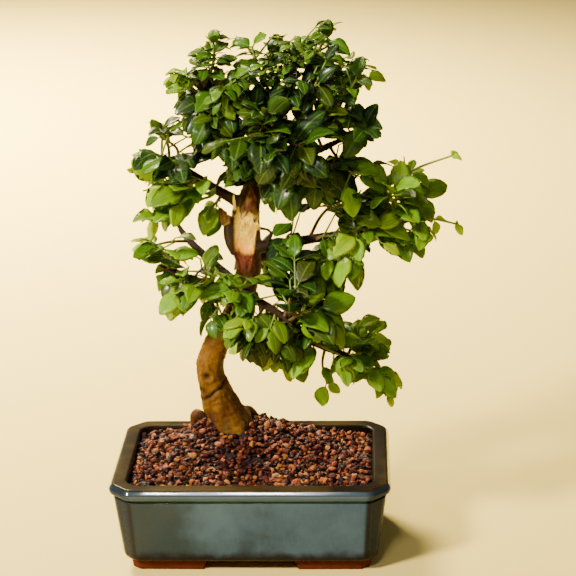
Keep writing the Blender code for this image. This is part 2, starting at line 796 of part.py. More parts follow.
def hides_cut(points):
    """Whether any point lies between the old cut and someone who looks at it."""
    depth = TRUNK[CUT_STATION].y - points[:, 1]
    x = points[:, 0] - SIGHT_DRIFT * depth
    z = points[:, 2] - SIGHT_RISE * depth
    inside = (x > SIGHT_X[0]) & (x < SIGHT_X[1]) & (z > SIGHT_Z[0]) & (z < SIGHT_Z[1])
    return bool(np.any(inside & (depth > SIGHT_NEAR)))


class Placed(NamedTuple):
    """A solid that what comes later must clear: the whole of it, and its blade alone."""

    owner: str
    centre: np.ndarray
    reach: float
    whole: BVHTree
    blade: BVHTree


def placed(owner, vertices, faces, blade=None):
    """Wraps a solid's vertices and faces for the clearance tests."""
    centre = (vertices.min(axis=0) + vertices.max(axis=0)) / 2
    reach = float(np.linalg.norm(vertices - centre, axis=1).max())
    whole = BVHTree.FromPolygons([Vector(v) for v in vertices], faces)
    return Placed(owner, centre, reach, whole, blade)


def is_clear(candidate, others):
    """Whether a solid crosses nothing. Of its own spray only the other blades count."""
    for other in others:
        if np.linalg.norm(other.centre - candidate.centre) > other.reach + candidate.reach:
            continue
        if other.owner != candidate.owner:
            if candidate.whole.overlap(other.whole):
                return False
        elif other.blade and candidate.blade.overlap(other.blade):
            return False
    return True


def object_arrays(thing):
    """An object's vertices and faces."""
    vertices = np.array([thing.matrix_world @ v.co for v in thing.data.vertices])
    return vertices, [list(p.vertices) for p in thing.data.polygons]


def grow_twig(spray, seats, others, parts):
    """A spray's twig, on the nearest free seat from which it crosses nothing."""
    reach = Vector(spray.reach)

    def cost(seat):
        aim = reach - seat.centre
        return abs(aim.length - USUAL_RUN) - ONWARD * aim.normalized().dot(seat.axis)

    for seat in sorted(seats, key=cost):
        stations = twig_line(spray, seat)
        trial = tube("trial", stations, TWIG_SIDES, parts, GAP / 2)
        solid = placed(spray.name, *object_arrays(trial))
        drop([trial])
        checks = np.linspace(0.0, 1.0, TWIG_CHECKS)
        line = np.array([along_twig(stations, share)[0] for share in checks])
        if is_clear(solid, others) and not hides_cut(line):
            break
    seats.remove(seat)
    others.append(solid)
    return stations


def spray_leaves(number, spray, stations, others):
    """The frames and lengths of a spray's leaves: opposite pairs, each turned from the last."""
    draw = np.random.default_rng(LEAF_SEED + number)
    light = Vector(LIGHT_BACK if spray.reach[1] > BACK_FROM else LIGHT_FRONT)
    leaves = []
    for pair, share in enumerate(PAIR_SHARES[spray.pairs]):
        root, along = along_twig(stations, share)
        forward = FORWARD[0] + share**2 * (FORWARD[1] - FORWARD[0])
        level = along.cross(Vector((0.0, 0.0, 1.0))).normalized()
        turn = PAIR_TURNS[pair % 2] + draw.uniform(-TURN_SPREAD, TURN_SPREAD)
        side = Matrix.Rotation(turn, 3, along) @ level
        for way in (1, -1):
            spread = draw.uniform(1.0 - SIZE_SPREAD, 1.0 + SIZE_SPREAD)
            size = spray.leaf * (SIZE_AT_FOOT - SIZE_LOSS * share) * spread
            tries = draw.uniform(-1.0, 1.0, (LEAF_TRIES, 3))
            tries *= np.linspace(*TRY_SPREAD, LEAF_TRIES)[:, None]
            vertices, faces = leaf_mesh(size, LEAF_CLEARANCE)
            blade_vertices, blade_faces = leaf_mesh(size, LEAF_CLEARANCE, from_row=1)
            for draws in tries:
                frame = leaf_frame(root, along, side * way, forward, light, draws)
                blade_places = [Vector(v) for v in moved(blade_vertices, frame)]
                blade = BVHTree.FromPolygons(blade_places, blade_faces)
                candidate = placed(spray.name, moved(vertices, frame), faces, blade)
                if hides_cut(moved(vertices, frame)) or not is_clear(candidate, others):
                    continue
                others.append(candidate)
                leaves.append((frame, size))
                break
    return leaves


def build_sprays(parts, tree, pot, soil):
    """Every leafy spray: the twigs first, then the leaves where they cross nothing."""
    others = [placed(thing.name, *object_arrays(thing)) for thing in (tree, pot, soil)]
    seats = branch_seats()
    lines = [grow_twig(spray, seats, others, parts) for spray in SPRAYS]
    twigs = []
    for number, (spray, stations) in enumerate(zip(SPRAYS, lines)):
        twig = tube("spray_" + spray.name, stations, TWIG_SIDES, parts)
        group = new_collection("leaves")
        for frame, size in spray_leaves(number, spray, stations, others):
            vertices, faces = leaf_mesh(size)
            mesh_object("leaf", moved(vertices, frame), faces, group)
        apply_boolean(twig, "UNION", "MANIFOLD", group=group)
        drop(group.objects)
        bpy.data.collections.remove(group)
        twigs.append(twig)
    return twigs


def main():
    """Builds the plant and its pot."""
    clear_scene()
    parts = new_collection("privet_bonsai")
    cutters = new_collection("cutters")
    holder = bpy.data.objects.new("plant", None)
    holder.location = POT_PLACE
    parts.objects.link(holder)
    glaze = principled("pot_glaze", (0.100, 0.190, 0.175), 0.22, 0.6)
    plastic = principled("screen_plastic", (0.030, 0.032, 0.030), 0.55)
    gravel = principled("gravel", (0.210, 0.085, 0.055), 0.85)
    bark = principled("bark", (0.330, 0.170, 0.045), 0.50)
    blades = {
        "old": principled("old_leaf", (0.018, 0.060, 0.012), 0.30, 0.4),
        "grown": principled("grown_leaf", (0.060, 0.160, 0.015), 0.32, 0.4),
        "young": principled("young_leaf", (0.190, 0.330, 0.020), 0.38, 0.3),
    }
    pot = build_pot(parts, cutters)
    left = build_screen("screen_left", -1, parts, cutters)
    right = build_screen("screen_right", 1, parts, cutters)
    soil = build_soil(parts, cutters)
    tree = build_tree(parts)
    twigs = build_sprays(parts, tree, pot, soil)
    for thing, material in (
        (pot, glaze),
        (left, plastic),
        (right, plastic),
        (soil, gravel),
        (tree, bark),
    ):
        finish(thing, material, holder)
    for spray, twig in zip(SPRAYS, twigs):
        finish(twig, blades[spray.age], holder)


main()
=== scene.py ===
"""A privet bonsai in a glazed pot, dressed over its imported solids.

The pot, the gravel, the tree and its leafy sprays are rebuilt finer where their solids stand,
and more shoots and leaves fill the crown between them. Lengths are metres, +Z is up, and the
front of the pot faces -Y. Places are worked out in the pot's own frame, whose origin is under
the pot's centre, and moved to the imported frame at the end.
"""

import logging
import math
from dataclasses import dataclass, field, replace
from enum import Enum
from typing import Callable, Iterator, Mapping, Optional, Sequence, Union

import bmesh
import bpy
import numpy as np
from mathutils import Matrix, Vector
from mathutils.bvhtree import BVHTree


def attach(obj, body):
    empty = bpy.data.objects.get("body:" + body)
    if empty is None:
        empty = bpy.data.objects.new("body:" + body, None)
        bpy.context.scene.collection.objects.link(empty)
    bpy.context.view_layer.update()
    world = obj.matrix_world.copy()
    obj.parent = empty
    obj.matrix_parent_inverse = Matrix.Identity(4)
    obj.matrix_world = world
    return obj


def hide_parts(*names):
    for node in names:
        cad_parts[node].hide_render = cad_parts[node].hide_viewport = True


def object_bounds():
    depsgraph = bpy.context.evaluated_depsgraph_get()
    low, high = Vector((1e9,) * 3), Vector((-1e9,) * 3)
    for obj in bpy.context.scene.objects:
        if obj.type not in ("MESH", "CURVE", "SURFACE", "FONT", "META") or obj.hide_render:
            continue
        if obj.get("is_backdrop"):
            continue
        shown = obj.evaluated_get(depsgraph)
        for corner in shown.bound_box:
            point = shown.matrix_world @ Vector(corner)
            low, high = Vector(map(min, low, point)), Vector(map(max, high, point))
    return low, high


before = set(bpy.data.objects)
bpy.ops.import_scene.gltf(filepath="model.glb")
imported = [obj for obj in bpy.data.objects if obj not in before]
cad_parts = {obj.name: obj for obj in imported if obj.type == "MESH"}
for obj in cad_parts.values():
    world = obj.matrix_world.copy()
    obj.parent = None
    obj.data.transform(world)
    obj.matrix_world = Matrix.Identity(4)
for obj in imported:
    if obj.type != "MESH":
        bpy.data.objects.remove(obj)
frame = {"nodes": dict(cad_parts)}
PACKED_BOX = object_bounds()

LOG = logging.getLogger("privet")

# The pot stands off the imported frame's origin, so that the whole plant is centred over it.
POT_PLACE = np.array((-0.031, -0.010, 0.0))
UP = np.array((0.0, 0.0, 1.0))
# Where the plant is looked at from, in the pot's own frame.
EYE = np.array((0.084269, -1.354350, 0.641847))

Array, Draw = np.ndarray, np.random.Generator
Material, Mesh, Thing = bpy.types.Material, bpy.types.Mesh, bpy.types.Object
Span = tuple[float, float]
Triple = Colour = tuple[float, float, float]
Station = tuple[float, float, float, float]
Key = Union[int, str]
Marks = Mapping[str, Array]
Rows = Sequence[Sequence[int]]

# The parts of a metre in which places are written: whole millimetres, or tenths of one.
MM, TENTHS = 1000, 10000
# How many sine waves a random field has.
WAVES = 16


def operator(operation: str, turned: bool = False) -> Callable[..., "Signal"]:
    """A signal's method that adds a Math node.

    Args:
        operation: The node's operation.
        turned: Whether the other value comes first.

    Returns:
        The method, which takes the other value and returns the node's result.
    """

    def method(this: "Signal", other: "Value" = 0.0) -> "Signal":
        """This and the other, joined by the operation."""
        first, second = (other, this) if turned else (this, other)
        return this.bench.node("ShaderNodeMath", {"operation": operation}, {0: first, 1: second})

    return method


class Signal:
    """A number or colour in a material that takes part in shader arithmetic."""

    def __init__(self, bench: "Bench", socket: bpy.types.NodeSocket) -> None:
        """Keeps an output socket.

        Args:
            bench: The material's builder, which adds the nodes.
            socket: The output that this signal stands for.
        """
        self.bench = bench
        self.socket = socket

    __add__ = operator("ADD")
    __radd__ = operator("ADD", True)
    __sub__ = operator("SUBTRACT")
    __rsub__ = operator("SUBTRACT", True)
    __mul__ = operator("MULTIPLY")
    size = operator("ABSOLUTE")
    fraction = operator("FRACT")

    def rise(self, low: float, high: float) -> "Signal":
        """A smooth step.

        Args:
            low: Where it starts to rise from 0. It may lie above high, and the step then falls.
            high: Where it reaches 1.

        Returns:
            The step's height, from 0 to 1.
        """
        values = {"Value": self, "From Min": low, "From Max": high}
        return self.bench.node("ShaderNodeMapRange", {"interpolation_type": "SMOOTHSTEP"}, values)


Value = Union[Signal, float, Sequence[float]]


class Bench:
    """Builds the nodes of one material."""

    short = {"colour": "Base Color", "specular": "Specular IOR Level", "coat_ior": "Coat IOR"}

    def __init__(self, name: str) -> None:
        """Starts a material with its shader and output.

        Args:
            name: The material's name.
        """
        self.material = bpy.data.materials.new(name)
        self.material.use_nodes = True
        self.tree = self.material.node_tree
        self.shader = self.tree.nodes["Principled BSDF"]

    def node(
        self,
        kind: str,
        settings: Mapping[str, object],
        inputs: Mapping[Key, Value],
        output: Key = 0,
    ) -> Signal:
        """Adds any node.

        Args:
            kind: The node's type.
            settings: Its properties, set first. Stops are pairs of a place and a colour.
            inputs: The values or links of its sockets, by name or number.
            output: The socket that is wanted.

        Returns:
            That output.
        """
        made = self.tree.nodes.new(kind)
        for name, value in settings.items():
            if name == "stops":
                self.set_stops(made.color_ramp, value)
            else:
                setattr(made, name, value)
        for key, value in inputs.items():
            self.feed(made.inputs[key], value)
        return Signal(self, made.outputs[output])

    def set_stops(self, ramp: bpy.types.ColorRamp, stops: Sequence[tuple[float, Colour]]) -> None:
        """Gives a ramp its stops.

        Args:
            ramp: The node's ramp, which has two stops as it is made.
            stops: Places from 0 to 1 with their colours, in order.
        """
        while len(ramp.elements) < len(stops):
            ramp.elements.new(1.0)
        for element, (place, colour) in zip(ramp.elements, stops):
            element.position = place
            element.color = (*colour, 1.0)

    def feed(self, socket: bpy.types.NodeSocket, value: Value) -> None:
        """Links a socket or sets its own value.

        Args:
            socket: The input.
            value: A signal, a number, or a colour or vector of three.
        """
        if isinstance(value, Signal):
            self.tree.links.new(value.socket, socket)
        elif socket.type == "RGBA":
            socket.default_value = (*value, 1.0)
        else:
            socket.default_value = value

    def place(self, stretch: Triple = (1.0, 1.0, 1.0)) -> Signal:
        """The place on the piece, in metres.

        Args:
            stretch: What each axis is multiplied by.

        Returns:
            The place as a vector.
        """
        spot = self.node("ShaderNodeTexCoord", {}, {}, "Object")
        if stretch == (1.0, 1.0, 1.0):
            return spot
        return self.node("ShaderNodeMapping", {}, {"Vector": spot, "Scale": stretch})

    def split(self, vector: Signal, axis: str) -> Signal:
        """One axis of a vector, X, Y or Z."""
        return self.node("ShaderNodeSeparateXYZ", {}, {0: vector}, axis)

    def mark(self, name: str) -> Signal:
        """What each vertex keeps under a name."""
        return self.node("ShaderNodeAttribute", {"attribute_name": name}, {}, "Fac")

    def noise(self, place: Signal, size: float, detail: float = 3.0, rough: float = 0.55) -> Signal:
        """Soft cloudy noise.

        Args:
            place: Where it is read.
            size: The breadth of one cloud in metres.
            detail: How many finer layers it has.
            rough: How much the finer layers count.

        Returns:
            A number round 0.5.
        """
        inputs = {"Vector": place, "Scale": 1.0 / size, "Detail": detail, "Roughness": rough}
        return self.node("ShaderNodeTexNoise", {}, inputs, 0)

    def mix(self, factor: Value, first: Value, second: Value) -> Signal:
        """Blends two colours.

        Args:
            factor: How much of the second, from 0 to 1.
            first: The first colour.
            second: The second colour.

        Returns:
            The blended colour.
        """
        settings = {"data_type": "RGBA", "blend_type": "MIX", "clamp_factor": True}
        return self.node("ShaderNodeMix", settings, {0: factor, 6: first, 7: second}, 2)

    def layers(self, base: Value, *coats: tuple[Value, Value]) -> Value:
        """Lays colours over a base, one after another.

        Args:
            base: The colour below.
            coats: How much of each colour shows, from 0 to 1, and the colour.

        Returns:
            The colour on top.
        """
        for factor, colour in coats:
            base = self.mix(factor, base, colour)
        return base

    def ramp(self, factor: Signal, stops: Sequence[tuple[float, Colour]]) -> Signal:
        """A colour read from a ramp at a number from 0 to 1."""
        return self.node("ShaderNodeValToRGB", {"stops": stops}, {0: factor})

    def bump(self, height: Signal, depth: float, strength: float = 1.0) -> Signal:
        """A normal that shows a relief.

        Args:
            height: The relief, from 0 to 1.
            depth: How deep it is in metres.
            strength: How strongly it shows.

        Returns:
            The normal.
        """
        inputs = {"Height": height, "Distance": depth, "Strength": strength}
        return self.node("ShaderNodeBump", {}, inputs)

    def surface(self, **inputs: Value) -> Material:
        """Feeds the material's shader.

        Args:
            inputs: The values or links of its sockets, by their names or short names.

        Returns:
            The finished material.
        """
        for name, value in inputs.items():
            socket = self.short.get(name, name.replace("_", " ").title())
            self.feed(self.shader.inputs[socket], value)
        return self.material


@dataclass(frozen=True)
class GlazeFinish:
    """Glossy blue-green glaze over red clay, darker along the vertical corners and towards the
    foot, with painted shade on its left end, its cut corner faces and its inner walls.
    """

    pool: Colour = (0.040, 0.074, 0.114)
    pale: Colour = (0.060, 0.108, 0.160)
    shade: Colour = (0.021, 0.034, 0.042)
    rim: Colour = (0.044, 0.027, 0.006)
    rim_dark_and_inner_shade: Colour = (0.014, 0.009, 0.004)
    edge: Colour = (0.012, 0.009, 0.011)
    cant_shade: Colour = (0.009, 0.015, 0.028)
    clay: Colour = (0.120, 0.025, 0.010)
    clay_dark: Colour = (0.040, 0.009, 0.004)
    cloud: float = 0.045
    speck: float = 0.0011
    foot_top: float = 0.0078
    edge_top: float = 0.0195
    band_low: float = 0.0612
    facet_low: float = 0.0654
    rim_low: float = 0.0688
    # Where the painted shade on the pot's left end starts and where it is full, along x.
    left_end_shade_from: float = -0.025
    left_end_shade_to: float = -0.090
    roughness: float = 0.24
    coat: float = 0.10

    def dress(self) -> Material:
        """Makes the glazed clay.

        Returns:
            The material. It reads the height over the floor, the corner mark of the pot, and its
            cant and inside marks, which carry painted shade.
        """
        bench = Bench("glazed_clay")
        place = bench.place()
        height = bench.split(place, "Z")
        clouds = bench.noise(place, self.cloud, 5.0, 0.6)
        fine = bench.noise(place, self.speck, 2.0, 0.7)
        wander = (bench.noise(place, 0.012, 3.0) - 0.5) * 0.010
        drops = bench.noise(bench.place((1.0, 1.0, 0.35)), 0.0045, 3.0, 0.6)
        glaze = bench.ramp(clouds, ((0.26, self.shade), (0.44, self.pool), (0.68, self.pale)))
        glaze = bench.mix((drops - 0.52).rise(0.0, 0.12) * 0.25, glaze, self.pale)
        glaze = bench.mix(fine.rise(0.58, 0.75) * 0.30, glaze, self.shade)
        # Painted shade: the glaze darkens towards the pot's left end.
        left_end_shade = (bench.split(place, "X") + (clouds - 0.5) * 0.12).rise(self.left_end_shade_from, self.left_end_shade_to)
        glaze = bench.mix(left_end_shade * 0.88, glaze, self.shade)
        # The glaze darkens towards the foot.
        low = (height + wander).rise(self.edge_top, self.foot_top + 0.0030)
        corner = bench.mark("corner")
        # Painted shade: the cut corner faces are coloured blue-black.
        cant = bench.mark("cant")
        glaze = bench.layers(
            glaze,
            (cant * 0.95, self.cant_shade),
            (low, self.edge),
            ((corner + clouds * 0.4 - 0.2).rise(0.45, 1.0) * 0.85, self.edge),
        )
        lip = bench.mix(clouds.rise(0.40, 0.62), self.rim_dark_and_inner_shade, self.rim)
        over = (height + wander * 0.12).rise(self.rim_low - 0.0005, self.rim_low + 0.0003)
        band = height.rise(self.band_low - 0.0004, self.band_low + 0.0004)
        facet = height.rise(self.facet_low - 0.0006, self.facet_low + 0.0004) * (1.0 - over)
        glaze = bench.layers(
            glaze,
            (band * 0.60, self.pale),
            (facet * 0.60, self.shade),
            # Painted shade on the band above the cut corner faces.
            (cant * band * 0.80, self.cant_shade),
            (over, lip),
        )
        # Painted shade: the inner walls take the rim's deepest colour.
        inside = bench.mark("inside")
        glaze = bench.mix(inside, glaze, self.rim_dark_and_inner_shade)
        bare = (height + wander * 0.12).rise(self.foot_top + 0.0004, self.foot_top - 0.0004)
        clay = bench.mix(bench.noise(place, 0.006, 4.0), self.clay, self.clay_dark)
        colour = bench.mix(bare, glaze, clay)
        smooth = (1.0 - low) * (1.0 - inside)
        relief = clouds * 0.6 + drops * 0.25 + fine * 0.005 + bare * fine * 0.6
        return bench.surface(
            colour=colour,
            roughness=self.roughness + bare * 0.55 + fine * 0.06 + over * 0.16,
            coat_weight=smooth * (1.0 - cant * 0.95) * (self.coat + facet * 0.9),
            coat_roughness=0.07,
            coat_ior=1.80,
            specular=0.06,
            normal=bench.bump(relief, 0.0009, 0.50),
        )


@dataclass(frozen=True)
class ScreenFinish:
    """Dull dark plastic mesh, dusty along its openings."""

    plastic: Colour = (0.030, 0.032, 0.030)
    dust: Colour = (0.120, 0.080, 0.060)

    def dress(self) -> Material:
        """Makes the moulded plastic."""
        bench = Bench("screen_plastic")
        grain = bench.noise(bench.place(), 0.0009, 3.0, 0.7)
        dusty = bench.noise(bench.place(), 0.006, 3.0).rise(0.45, 0.70)
        return bench.surface(
            colour=bench.mix(dusty * 0.6, self.plastic, self.dust),
            roughness=0.52 + dusty * 0.30,
            normal=bench.bump(grain, 0.0002, 0.6),
        )


@dataclass(frozen=True)
class GravelFinish:
    """Damp crushed stone: red-brown, salmon, ochre, grey and dark purple grains."""

    plum: Colour = (0.007, 0.002, 0.005)
    maroon: Colour = (0.028, 0.005, 0.003)
    brick: Colour = (0.085, 0.016, 0.006)
    salmon: Colour = (0.300, 0.070, 0.024)
    ochre: Colour = (0.340, 0.125, 0.014)
    ash: Colour = (0.400, 0.230, 0.150)
    # Near black: the earth, and painted shade in the gaps between the stones.
    earth: Colour = (0.004, 0.002, 0.002)

    def dress(self) -> Material:
        """Makes the stones, each of which keeps its hue as a mark."""
        bench = Bench("gravel_stone")
        place = bench.place()
        stops = (
            (0.00, self.plum),
            (0.22, self.maroon),
            (0.48, self.brick),
            (0.70, self.salmon),
            (0.84, self.ochre),
            (1.00, self.ash),
        )
        grain = bench.noise(place, 0.0016, 4.0, 0.7)
        blotch = bench.noise(place, 0.0045, 3.0)
        base = bench.ramp(bench.mark("hue") + (blotch - 0.5) * 0.22, stops)
        # Painted shade: the stones darken towards the pot's left wall.
        left = bench.split(place, "X").rise(0.0, -0.11)
        base = bench.mix(grain.rise(0.50, 0.78) * 0.55 + left * 0.18, base, self.maroon)
        base = bench.mix(grain.rise(0.42, 0.26) * 0.35, base, self.salmon)
        return bench.surface(
            colour=base,
            roughness=0.36 + grain * 0.34,
            specular=0.18,
            normal=bench.bump(grain + blotch, 0.0005, 0.75),
        )

    def dress_bed(self) -> Material:
        """Makes the earth and dust between the stones, near black as painted shade in the gaps."""
        bench = Bench("gravel_bed")
        grain = bench.noise(bench.place(), 0.0022, 5.0, 0.75)
        return bench.surface(
            colour=bench.mix(grain.rise(0.45, 0.70), self.earth, self.maroon),
            roughness=0.75 + grain * 0.20,
            normal=bench.bump(grain, 0.0012, 0.9),
        )


@dataclass(frozen=True)
class BarkFinish:
    """Smooth ochre bark with painted shade in its creases, inside the crown and on its right side,
    and the bare orange wood of the old cut.
    """

    ochre: Colour = (0.122, 0.050, 0.004)
    honey: Colour = (0.205, 0.098, 0.008)
    umber: Colour = (0.024, 0.009, 0.003)
    twig: Colour = (0.017, 0.009, 0.005)
    crack_and_shade: Colour = (0.005, 0.002, 0.002)
    root: Colour = (0.085, 0.024, 0.009)
    wood: Colour = (1.000, 0.560, 0.040)
    wood_pale: Colour = (1.000, 0.800, 0.090)
    wood_burnt: Colour = (0.820, 0.270, 0.012)
    wood_red: Colour = (0.085, 0.016, 0.007)
    wood_old: Colour = (0.085, 0.026, 0.016)
    moss: Colour = (0.050, 0.058, 0.020)
    stem_green: Colour = (0.190, 0.270, 0.050)
    stem_brown: Colour = (0.130, 0.075, 0.030)
    rot_low: float = 0.2270
    rot_high: float = 0.2335
    # Heights where the painted shade inside the crown starts and is full.
    crown_shade_low: float = 0.150
    crown_shade_high: float = 0.176
    under_fold: float = 0.116

    def dress(self) -> Material:
        """Makes the bark. It reads the tree's marks: girth, crease, wound, rot and right_shade, the
        painted shade on the trunk's right side.
        """
        bench = Bench("privet_bark")
        place = bench.place()
        long_place = bench.place((1.0, 1.0, 0.30))
        height = bench.split(place, "Z")
        clouds = bench.noise(place, 0.014, 4.0, 0.6)
        streaks = bench.noise(long_place, 0.0032, 4.0, 0.65)
        rings = bench.noise(bench.place((0.6, 0.6, 3.2)), 0.0060, 3.0, 0.6)
        pores = bench.noise(place, 0.0008, 2.0, 0.7)
        bark = bench.ramp(clouds, ((0.32, self.umber), (0.46, self.ochre), (0.68, self.honey)))
        bark = bench.mix(streaks.rise(0.52, 0.72) * 0.55, bark, self.umber)
        bark = bench.mix(rings.rise(0.60, 0.74) * 0.35, bark, self.umber)
        thin = bench.mark("girth").rise(0.0088, 0.0060) * height.rise(0.125, 0.145)
        # Painted shade: the bark darkens to the twigs' colour inside the crown, where leaves shade
        # it.
        inner = (height + (clouds - 0.5) * 0.02).rise(self.crown_shade_low, self.crown_shade_high)
        bark = bench.layers(
            bark,
            (inner * 0.82, self.twig),
            # Painted shade on the side of the wood that faces away from the key light.
            (bench.mark("right_shade") * (0.55 + inner * 0.3), self.umber),
            (thin * 0.88, self.twig),
        )
        foot = (height + (clouds - 0.5) * 0.03).rise(self.under_fold, self.under_fold - 0.018)
        bark = bench.mix(foot * clouds.rise(0.62, 0.42) * 0.75, bark, self.root)
        bark = bench.mix(foot * streaks.rise(0.50, 0.60) * 0.35, bark, self.moss)
        wound = bench.mark("wound")
        grain = bench.noise(bench.place((1.0, 1.0, 0.10)), 0.0016, 4.0, 0.6)
        woods = ((0.28, self.wood_burnt), (0.42, self.wood), (0.60, self.wood_pale))
        wood = bench.ramp(grain, woods)
        level = height + (streaks - 0.5) * 0.006
        burnt = level.rise(self.rot_high + 0.007, self.rot_high) * 0.7
        wood = bench.layers(
            wood,
            (burnt, self.wood_burnt),
            (level.rise(self.rot_high, self.rot_low), self.wood_red),
            (bench.mark("rot"), self.wood_old),
        )
        colour = bench.mix(wound, bark, wood)
        # Dark knots and scars, and painted shade in the creases and the hollow.
        colour = bench.mix(bench.mark("crease"), colour, self.crack_and_shade)
        relief = clouds * 0.5 + streaks * 0.8 + rings * 0.5 + pores * 0.15 + grain * wound * 2.0
        return bench.surface(
            colour=colour,
            roughness=0.48 + pores * 0.22 + wound * 0.18,
            specular=0.14,
            normal=bench.bump(relief, 0.0011, 0.7),
        )

    def dress_stem(self) -> Material:
        """Makes the skin of young stems, green at the tip by their youth mark."""
        bench = Bench("young_stem")
        place = bench.place()
        fleck = bench.noise(place, 0.0012, 3.0, 0.6)
        patch = bench.noise(place, 0.010, 2.0)
        youth = (bench.mark("youth") + (patch - 0.5) * 0.5).rise(0.15, 0.85)
        colour = bench.mix(youth, self.stem_brown, self.stem_green)
        colour = bench.mix(fleck.rise(0.56, 0.70) * 0.4, colour, self.stem_brown)
        return bench.surface(
            colour=colour,
            roughness=0.46 + fleck * 0.15,
            specular=0.25,
            normal=bench.bump(fleck, 0.0002, 0.6),
        )


@dataclass(frozen=True)
class LeafFinish:
    """A glossy leaf with a pale midrib, fine side veins and a paler, duller back."""

    name: str
    gloss: float
    coat: float
    deep: Colour = (0.003, 0.011, 0.003)
    dark: Colour = (0.008, 0.030, 0.004)
    middle: Colour = (0.044, 0.124, 0.002)
    bright: Colour = (0.180, 0.370, 0.001)
    fresh: Colour = (0.370, 0.500, 0.002)
    vein: Colour = (0.160, 0.300, 0.020)
    back: Colour = (0.080, 0.150, 0.020)
    olive: Colour = (0.075, 0.075, 0.003)
    side_veins: float = 7.0

    def dress(self) -> Material:
        """Makes the leaf. It reads the blade's own map, and the marks youth and under."""
        bench = Bench(self.name)
        own = bench.node("ShaderNodeUVMap", {"uv_map": "UVMap"}, {})
        across = (bench.split(own, "X") * 2.0 - 1.0).size()
        along = bench.split(own, "Y")
        place = bench.place()
        blotch = bench.noise(place, 0.007, 3.0)
        stops = (
            (0.00, self.deep),
            (0.22, self.dark),
            (0.50, self.middle),
            (0.78, self.bright),
            (1.00, self.fresh),
        )
        youth = bench.mark("youth") + (blotch - 0.5) * 0.30 + (across - 0.5) * 0.05
        colour = bench.ramp(youth, stops)
        colour = bench.mix(bench.mark("tint").rise(0.45, 1.0) * 0.40, colour, self.olive)
        midrib = across.rise(0.13, 0.03)
        ladder = ((along - across * 0.30) * self.side_veins).fraction()
        lines = (ladder - 0.5).size().rise(0.11, 0.02) * across.rise(0.97, 0.80)
        colour = bench.mix(midrib * 0.34 + lines * 0.10, colour, self.vein)
        stalk = along.rise(0.03, -0.02)
        colour = bench.mix(stalk * 0.8, colour, self.vein)
        under = bench.mark("under")
        colour = bench.mix(under * 0.45, colour, self.back)
        fine = bench.noise(place, 0.0011, 2.0, 0.6)
        relief = fine * 0.12 + blotch * 0.5 - lines * 0.35 - midrib * 0.7
        return bench.surface(
            colour=colour,
            roughness=self.gloss + under * 0.25 + fine * 0.08,
            coat_weight=(1.0 - under) * self.coat,
            coat_roughness=0.16,
            specular=0.16,
            normal=bench.bump(relief, 0.0006, 0.5),
        )


@dataclass(frozen=True)
class FloorFinish:
    """A plain pale floor."""

    pale: Colour = (0.92, 0.72, 0.20)
    deep: Colour = (0.88, 0.67, 0.17)

    def dress(self) -> Material:
        """Makes the floor."""
        bench = Bench("floor_paint")
        clouds = bench.noise(bench.place(), 0.9, 2.0)
        colour = bench.mix(clouds, self.pale, self.deep)
        return bench.surface(colour=colour, roughness=0.75)


@dataclass
class Sheet:
    """A mesh in the making: places, faces, a map and what each vertex keeps."""

    places: Array
    quads: Array = field(default_factory=lambda: np.zeros((0, 4), int))
    triangles: Array = field(default_factory=lambda: np.zeros((0, 3), int))
    chart: Optional[Array] = None
    marks: dict[str, Array] = field(default_factory=dict)

    def faces(self) -> list[list[int]]:
        """Every face as a list of vertex numbers."""
        return self.quads.tolist() + self.triangles.tolist()

    def build(
        self,
        name: str,
        material: Material,
        crease_deg: Optional[float] = None,
        moved: bool = True,
    ) -> Thing:
        """Turns the sheet into an object.

        Args:
            name: The object's name.
            material: Its material.
            crease_deg: The angle past which an edge is sharp. None keeps all smooth.
            moved: Whether the places are in the pot's own frame and still have to move.

        Returns:
            The object, at the origin, with its place in its mesh.
        """
        places = self.places + POT_PLACE if moved else self.places
        mesh = bpy.data.meshes.new(name)
        mesh.from_pydata(places.tolist(), [], self.faces())
        mesh.update()
        mesh.shade_smooth()
        if crease_deg is not None:
            mesh.set_sharp_from_angle(angle=math.radians(crease_deg))
        if self.chart is not None:
            corners = np.zeros(len(mesh.loops), np.int32)
            mesh.loops.foreach_get("vertex_index", corners)
            layer = mesh.uv_layers.new(name="UVMap")
            layer.data.foreach_set("uv", self.chart[corners].astype(np.float32).ravel())
        keep_marks(mesh, self.marks)
        mesh.materials.append(material)
        thing = bpy.data.objects.new(name, mesh)
        bpy.context.scene.collection.objects.link(thing)
        return thing


def keep_marks(mesh: Mesh, marks: Marks) -> None:
    """Writes what each vertex keeps into a mesh.

    Args:
        mesh: The mesh.
        marks: A number for each vertex, by name.
    """
    for key, values in marks.items():
        attribute = mesh.attributes.new(key, "FLOAT", "POINT")
        attribute.data.foreach_set("value", values.astype(np.float32))


def vertex_vectors(mesh: Mesh, name: str = "co") -> Array:
    """Reads a vector that each vertex of a mesh has.

    Args:
        mesh: The mesh.
        name: What the vertices call it.

    Returns:
        A row for each vertex, such as its place.
    """
    values = np.zeros(len(mesh.vertices) * 3)
    mesh.vertices.foreach_get(name, values)
    return values.reshape(-1, 3)


def joined(sheets: Sequence[Sheet]) -> Sheet:
    """Puts sheets with the same marks into one.

    Args:
        sheets: What is joined. A sheet without a chart gets a blank one if another has one.

    Returns:
        The joined sheet.
    """
    starts = np.cumsum([0] + [len(s.places) for s in sheets[:-1]])
    blank = [s.chart if s.chart is not None else np.zeros((len(s.places), 2)) for s in sheets]
    charted = any(s.chart is not None for s in sheets)
    return Sheet(
        np.concatenate([s.places for s in sheets]),
        np.concatenate([s.quads + start for s, start in zip(sheets, starts)]),
        np.concatenate([s.triangles + start for s, start in zip(sheets, starts)]),
        np.concatenate(blank) if charted else None,
        {key: np.concatenate([s.marks[key] for s in sheets]) for key in sheets[0].marks},
    )


